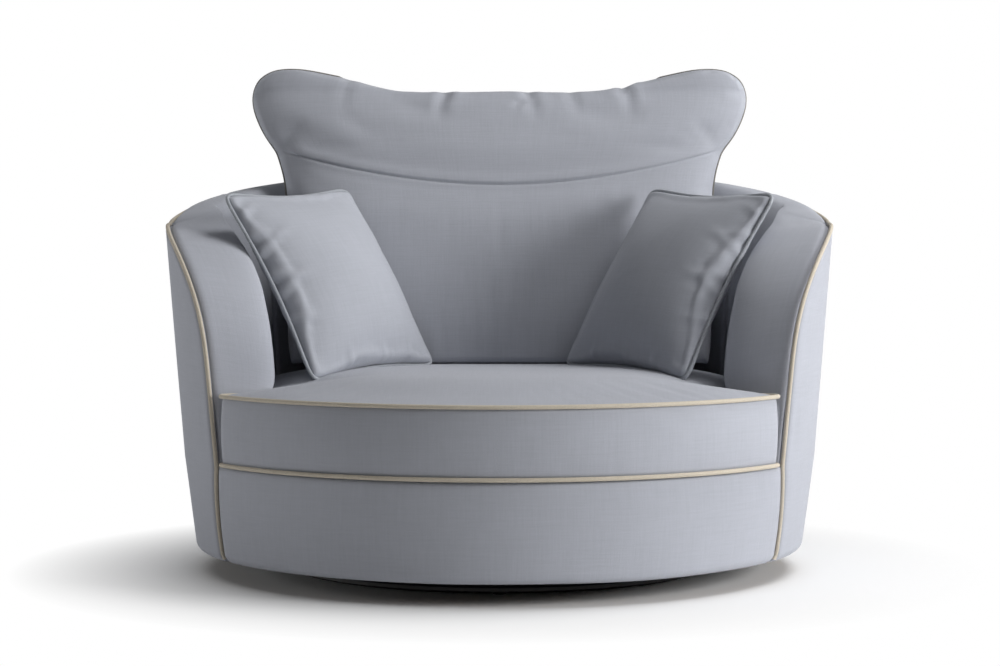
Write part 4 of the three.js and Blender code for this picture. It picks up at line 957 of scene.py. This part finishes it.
def wall_y(x, z):
    """Where the tub's inner wall lies behind a place, at each height."""
    angle = np.pi - np.arcsin(np.minimum(np.abs(x) / PAD_SHOULDER, 1))
    top = rim_height(angle)
    shoulder = top - ROLL_HEIGHT
    up = np.clip((z - shoulder) / (ROLL_HEIGHT + ROLL_PUFF), 0, 1)
    rolled = PAD_SHOULDER + ROLL_WIDTH * (1 - np.sqrt(1 - up ** 2))
    low = lerp(PAD_BASE, PAD_SHOULDER, share_of(z, PAD_BOTTOM_Z, shoulder))
    radius = np.where(z < shoulder, low, rolled)
    wall = SQUASH * np.sqrt(np.maximum(radius ** 2 - x ** 2, 0))
    return np.where(z < top + 0.002, wall, 9.0)


def loop_of(face):
    """The edge of the face as one loop, from its lower left corner anticlockwise."""
    return np.concatenate([face[0], face[1:, -1], face[-1, -2::-1], face[-2:0:-1, 0]])


def back_cushion_cloth(front, rear):
    """One closed cover of face, reverse and rounded wall; also the wall's middle line and way outward."""
    cover = Cloth()
    cover.add(front, uv=cloth_uv(front))
    cover.add(rear, uv=cloth_uv(rear) + np.array([2.0, 0.0]), flip=True)
    a, b = loop_of(front), loop_of(rear)
    ahead = (np.roll(a, -1, 0) - np.roll(a, 1, 0)) * np.array([1.0, 0.0, 1.0])
    outward = np.stack([ahead[:, 2], 0 * ahead[:, 0], -ahead[:, 0]], axis=-1)
    outward /= np.maximum(np.linalg.norm(outward, axis=1, keepdims=True), 1e-9)
    outward = evened(outward, 6)
    sideways = np.abs(outward[:, :1])
    puff = WALL_PUFF * np.where(outward[:, 2:] > 0, 0.35 + 0.65 * sideways, 0.1 + 0.9 * sideways)
    rows = np.array([lerp(a, b, s) + puff * 4 * s * (1 - s) * outward for s in np.linspace(0, 1, 11)])
    uv = np.stack(np.broadcast_arrays(lengths(a[None], 1), lengths(rows, 0)), axis=-1)
    cover.add(rows, uv=uv + np.array([0.0, 3.0]), wrap=True)
    return cover.build("back_cushion", linen_blue), rows[5], outward


def nearest(points, path):
    """How far each point lies from the nearest point of a path."""
    return np.min([np.linalg.norm(points - p, axis=1) for p in path], axis=0)


# The top seam is gathered at these places, where the cloth is drawn down by the given depths.
GATHERS = ((-0.114, 0.0055), (0.060, 0.0045), (0.262, 0.0060), (-0.318, 0.0025), (0.150, 0.0020))
GATHER_WIDTH, GATHER_REACH = 0.010, 0.032
for x, deep in GATHERS:
    off = face[..., 0] - x
    dip = deep * np.exp(-(off / GATHER_WIDTH) ** 2) - 0.45 * deep * np.exp(-(off / GATHER_REACH) ** 2)
    face[..., 2] -= dip * np.where(low_row, 0, part ** 6)[:, None]
front_face, rear_face = face.copy(), face.copy()
front_face[..., 1], rear_face[..., 1] = back_depths(face)
back, wall_line, wall_outward = back_cushion_cloth(front_face, rear_face)
at = points_of(back.data)
wall_ids = [int(np.linalg.norm(at - p, axis=1).argmin()) for p in wall_line]
seam_line = front_face[SEAM_ROW]
from_seam = nearest(at, seam_line)
resting = (at[:, 2] < BACK_BOTTOM_Z + 0.001) | ((at[:, 1] > 0.30) & (at[:, 2] < 0.74))
sewn = np.flatnonzero((from_seam < 0.0005) | resting)
puff = settle(back, sewn, pressure=3.0, extra=0.004, frames=18, cap=0.012)
beside = np.where(at[:, 1] < 0.40, smooth(share_of(from_seam, 0, 0.09)), 1.0)
put_points(back.data, at + puff * beside[:, None])
subdivide(back)

# The seam is a narrow groove, under which the upper part hangs over a little.
GROOVE, LIP, ROLL_IN = 0.0050, 0.0012, 0.0010
at, normal = points_of(back.data), vertex_normals(back.data)
above = at[:, 2] - np.interp(at[:, 0], seam_line[:, 0], seam_line[:, 2])
facing = (normal[:, 1] < -0.2) & (at[:, 1] < 0.42)
ends = smooth(share_of(reach + 0.006 - np.abs(at[:, 0]), 0, 0.045))
ends *= 1 - 0.5 * smooth(share_of(at[:, 0], 0.12, 0.34))
groove = -GROOVE * np.exp(-(above / np.where(above > 0, 0.0020, 0.0030)) ** 2)
lip = LIP * np.exp(-((above - 0.011) / 0.009) ** 2) - ROLL_IN * np.exp(-((above + 0.014) / 0.012) ** 2)
put_points(back.data, at + normal * (np.where(facing, groove + lip, 0) * ends)[:, None])


def on_face(path):
    """Places on the back cushion's face, from their x and z."""
    return closest(points_of(back.data)[vertex_normals(back.data)[:, 1] < 0], path, 0, 2)


# Folds as paths of x and z, with a depth and a width: round each ear, slack across the head, and dimples
EAR_FOLDS = (([(0.450, 0.838), (0.430, 0.862), (0.395, 0.892)], 0.0040, 0.020),
             ([(0.446, 0.818), (0.418, 0.780), (0.405, 0.735)], 0.0028, 0.016))
SLACK = (([(-0.24, 0.945), (-0.17, 0.915), (-0.09, 0.905)], 0.0022, 0.020),
         ([(0.13, 0.935), (0.21, 0.900), (0.31, 0.905)], 0.0024, 0.022),
         ([(-0.33, 0.90), (-0.27, 0.865), (-0.20, 0.850)], 0.0020, 0.020))
DIMPLES = ((0.041, 0.929), (0.254, 0.953))
folds = []
for sign, strength in ((-1, 1.0), (1, 0.25)):
    for path, deep, width in EAR_FOLDS:
        folds.append((on_face([(sign * x, z) for x, z in path]), deep * strength, width, True))
for x, deep in GATHERS:
    drift = math.copysign(0.018, x)
    fan = [(x, 0.975 if abs(x) > 0.2 else 0.946), (x + 0.4 * drift, 0.925), (x + drift, 0.875)]
    folds.append((on_face(fan), deep * 0.75, 0.011, True))
for x, z in DIMPLES:
    folds.append((on_face([(x - 0.006, z + 0.006), (x + 0.006, z - 0.008)]), 0.0030, 0.0120, False))
folds += [(on_face(path), deep, width, False) for path, deep, width in SLACK]
crease(back, folds)
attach(back, "back_cushion")
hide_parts("back_cushion_cover", "back_cushion_filling", "back_cushion_zip")


BACK_CORD, CORD_PROUD, CORD_ENDS = 0.0019, 0.0010, np.array([0.006, 0.004, 0.002])


def ear_cord(sign):
    """A thin cord on the side seam, which runs round the ear and sinks into the top edge."""
    chosen = np.flatnonzero((wall_line[:, 0] * sign > 0.30) & (wall_line[:, 2] > 0.69))
    path = points_of(back.data)[wall_ids][chosen]
    for _ in range(4):
        path[1:-1] = 0.5 * path[1:-1] + 0.25 * (path[:-2] + path[2:])
    sunk = np.full(len(path), -CORD_PROUD)
    sunk[:3], sunk[-3:] = CORD_ENDS, CORD_ENDS[::-1]
    return path - wall_outward[chosen] * sunk[:, None]


for label, sign in (("left", -1), ("right", 1)):
    piece = tube(f"back_cord_{label}", ear_cord(sign), BACK_CORD, taupe_cord, sides=8)
    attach(piece, "back_cushion")
    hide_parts(f"back_piping_{label}")


# Scatter cushions

# Half width, half height and loft of the front; how far its edges are drawn in; the place and turns of each
SCATTER_SIZE, PINCH, REAR_LOFT = (0.199, 0.209, 0.084), 0.080, -0.75
SCATTER_PLACE, YAW, TILT, ROLL = (0.331, -0.0215, 0.5610), 54.6, 59.3, 2.2
# Folds in from the outer edge by height, length, drop and depth, and up from the lower edge by place, length,
# lean and depth
EDGE_X, EDGE_FOLDS = 0.180, (
    (0.158, 0.050, 0.012, 0.0045), (0.112, 0.070, -0.022, 0.0055), (0.070, 0.085, 0.030, 0.0065),
    (0.022, 0.085, -0.030, 0.0060), (-0.020, 0.075, 0.026, 0.0050), (-0.075, 0.065, -0.018, 0.0045))
LOW_Y, LOW_FOLDS = -0.184, (
    (-0.09, 0.035, 0.010, 0.0022), (0.02, 0.030, -0.008, 0.0018), (0.10, 0.035, 0.008, 0.0022))


def scatter_sheets(steps=60):
    """Front and rear sheet with rounded corners and drawn-in edges, which meet at the rim."""
    t, s = np.meshgrid(np.linspace(-1, 1, steps + 1), np.linspace(-1, 1, steps + 1), indexing="ij")
    rounded = 1 - 0.055 * np.abs(s * t) ** 9
    half_width, half_height, loft = SCATTER_SIZE
    x = s * (1 - 1.5 * PINCH * (1 - t * t)) * rounded * half_width
    y = t * (1 - 1.1 * PINCH * (1 - s * s)) * rounded * half_height
    plump = np.maximum((1 - s * s) * (1 - t * t), 0) ** 0.5
    return [np.stack([x, y, high * plump], axis=-1) for high in (loft, REAR_LOFT * loft)]


def scatter_matrix(sign):
    yaw, tilt, roll = math.radians(-sign * YAW), math.radians(TILT), math.radians(-sign * ROLL)
    turn = Matrix.Rotation(yaw, 4, "Z") @ Matrix.Rotation(tilt, 4, "X")
    x, y, z = SCATTER_PLACE
    return Matrix.Translation((sign * x, y, z)) @ turn @ Matrix.Rotation(roll, 4, "Z")


def place_on(piece, path):
    """Places on the upper side of a flat-lying cushion, from their x and y."""
    own = points_of(piece.data)
    return closest(own[own[:, 2] > -0.001], path, 0, 1)


def scatter_folds(piece, sign):
    folds = []
    for y, long, drop, deep in EDGE_FOLDS:
        x = sign * EDGE_X
        path = [(x, y), (x - sign * long * 0.5, y + drop * 0.7), (x - sign * long, y + drop)]
        folds.append((place_on(piece, path), deep * (0.8 if sign < 0 else 0.4), 0.0085, True))
    for x, long, lean, deep in LOW_FOLDS:
        folds.append((place_on(piece, [(x, LOW_Y), (x + lean, LOW_Y + long)]), deep, 0.0075, True))
    return folds


def scatter_cushion(sign, label):
    upper, lower = scatter_sheets()
    uneven = 0.0006 * np.sin(37 * upper[..., 0] + 3 * sign) * np.sin(29 * upper[..., 1] + 1)
    upper[1:-1, 1:-1, 2] += uneven[1:-1, 1:-1]
    piece = Cloth().add(upper).add(lower, flip=True).build(f"scatter_{label}", linen_scatter)
    at = points_of(piece.data)
    rim = np.concatenate([upper[0, :-1], upper[:-1, -1], upper[-1, :0:-1], upper[:0:-1, 0]])
    rim_ids = [int(np.linalg.norm(at - p, axis=1).argmin()) for p in rim]
    at = at + settle(piece, rim_ids, pressure=3.0, extra=0.004, frames=18, cap=0.008, give=4)
    put_points(piece.data, at)
    subdivide(piece)
    crease(piece, scatter_folds(piece, sign))
    place = scatter_matrix(sign)
    piece.data.transform(place)
    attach(piece, f"scatter_cushion_{label}")
    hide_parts(f"scatter_cover_{label}", f"scatter_filling_{label}")
    path = evened(at[rim_ids], 5)
    ahead = np.roll(path, -3, 0) - np.roll(path, 3, 0)
    outward = unit(np.stack([ahead[:, 1], -ahead[:, 0], 0 * ahead[:, 0]], axis=-1))
    cord = np.array([(place @ Vector(p))[:] for p in path + 0.0024 * outward])
    piece = tube(f"scatter_cord_{label}", cord[::2], PIPING, grey_cord, closed=True)
    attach(piece, f"scatter_cushion_{label}")
    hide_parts(f"scatter_piping_{label}")


for sign, label in ((-1, "left"), (1, "right")):
    scatter_cushion(sign, label)


# Pieces that keep their solids get their materials, by the start of their names

LOOKS = {
    ("base_",): black_steel,
    ("bearing_", "swivel_top_plate", "plate_bolt_"): zinc_steel,
    ("floor_glide_",): glide_plastic,
    ("seat_strap_", "cross_strap_"): webbing_cloth,
    ("bottom_board", "seat_ring", "top_rail", "front_post_", "front_stud_", "side_rib_", "back_rib_"): timber,
}
for starts, material in LOOKS.items():
    for name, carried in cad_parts.items():
        if name.startswith(starts):
            carried.data.materials.clear()
            carried.data.materials.append(material)


# Floor, light and camera

CLEAR_RADIUS, WHITE_RADIUS = 0.56, 0.96


def seen_by(tree, *kinds):
    """1 on a ray of these kinds, and 0 on the light that falls on the chair."""
    rays = node(tree, "ShaderNodeLightPath").outputs
    seen = rays[kinds[0]]
    for kind in kinds[1:]:
        seen = math_node(tree, "MAXIMUM", seen, rays[kind])
    return seen


def mixed(tree, share, low, high, out):
    mix = node(tree, "ShaderNodeMixShader", {0: share, 1: low.outputs[0], 2: high.outputs[0]})
    tree.links.new(mix.outputs[0], out.inputs["Surface"])


def floor_material():
    """A pale floor that takes shadows near the chair and turns to plain white further off."""
    material = bpy.data.materials.new("pale_floor")
    material.use_nodes = True
    tree = material.node_tree
    tree.nodes.clear()
    diffuse = node(tree, "ShaderNodeBsdfDiffuse", {"Color": (0.92, 0.92, 0.92, 1)})
    glow = node(tree, "ShaderNodeEmission", {"Color": (1, 1, 1, 1), "Strength": 1.0})
    place = node(tree, "ShaderNodeTexCoord").outputs["Object"]
    far = node(tree, "ShaderNodeVectorMath", {0: place}, operation="LENGTH").outputs["Value"]
    limits = {"Value": far, "From Min": CLEAR_RADIUS, "From Max": WHITE_RADIUS}
    turned = node(tree, "ShaderNodeMapRange", limits).outputs[0]
    share = math_node(tree, "MULTIPLY", turned, seen_by(tree, "Is Camera Ray", "Is Glossy Ray"))
    mixed(tree, share, diffuse, glow, node(tree, "ShaderNodeOutputMaterial"))
    return material


bpy.ops.mesh.primitive_circle_add(vertices=64, radius=6.0, fill_type="NGON", location=(0, 0, 0))
floor = bpy.context.object
floor.name = "floor"
floor.data.materials.append(floor_material())


def area_light(name, place, size, power):
    """A soft light that faces the middle of the chair."""
    data = bpy.data.lights.new(name, "AREA")
    data.shape = "RECTANGLE"
    data.size, data.size_y = size
    data.energy = power
    lamp = bpy.data.objects.new(name, data)
    lamp.location = place
    lamp.rotation_euler = (Vector((0, 0, 0.5)) - Vector(place)).to_track_quat("-Z", "Y").to_euler()
    bpy.context.scene.collection.objects.link(lamp)


area_light("key", (3.75, -1.67, 1.37), (2.0, 1.2), 135)
area_light("high_right", (2.0, 0.0, 3.96), (2.0, 2.0), 88)
area_light("high_left", (-1.44, -1.20, 4.03), (2.0, 1.6), 8)
area_light("left", (-3.97, 0.35, 0.78), (2.2, 1.0), 38)

world = bpy.data.worlds.new("studio")
bpy.context.scene.world = world
world.use_nodes = True
tree = world.node_tree
background = tree.nodes["Background"]
background.inputs["Color"].default_value = (0.97, 0.985, 1.0, 1)
background.inputs["Strength"].default_value = 0.06
white = node(tree, "ShaderNodeBackground", {"Color": (1, 1, 1, 1), "Strength": 1.0})
seen = seen_by(tree, "Is Camera Ray", "Is Glossy Ray", "Is Transmission Ray")
mixed(tree, seen, background, white, tree.nodes["World Output"])

FOCAL_PIXELS, IMAGE_WIDTH, MIDDLE_ROW, HORIZON_ROW = 2532.0, 1000.0, 333, 221
camera_data = bpy.data.cameras.new("camera")
camera_data.sensor_width = 36.0
camera_data.lens = FOCAL_PIXELS / IMAGE_WIDTH * camera_data.sensor_width
camera = bpy.data.objects.new("camera", camera_data)
camera.location = (0.001, -5.0, 0.680)
pitch = math.atan((MIDDLE_ROW - HORIZON_ROW) / FOCAL_PIXELS)
camera.rotation_euler = (math.radians(90) - pitch, 0, 0)
bpy.context.scene.collection.objects.link(camera)
bpy.context.scene.camera = camera

bpy.context.scene.view_settings.view_transform = "Standard"
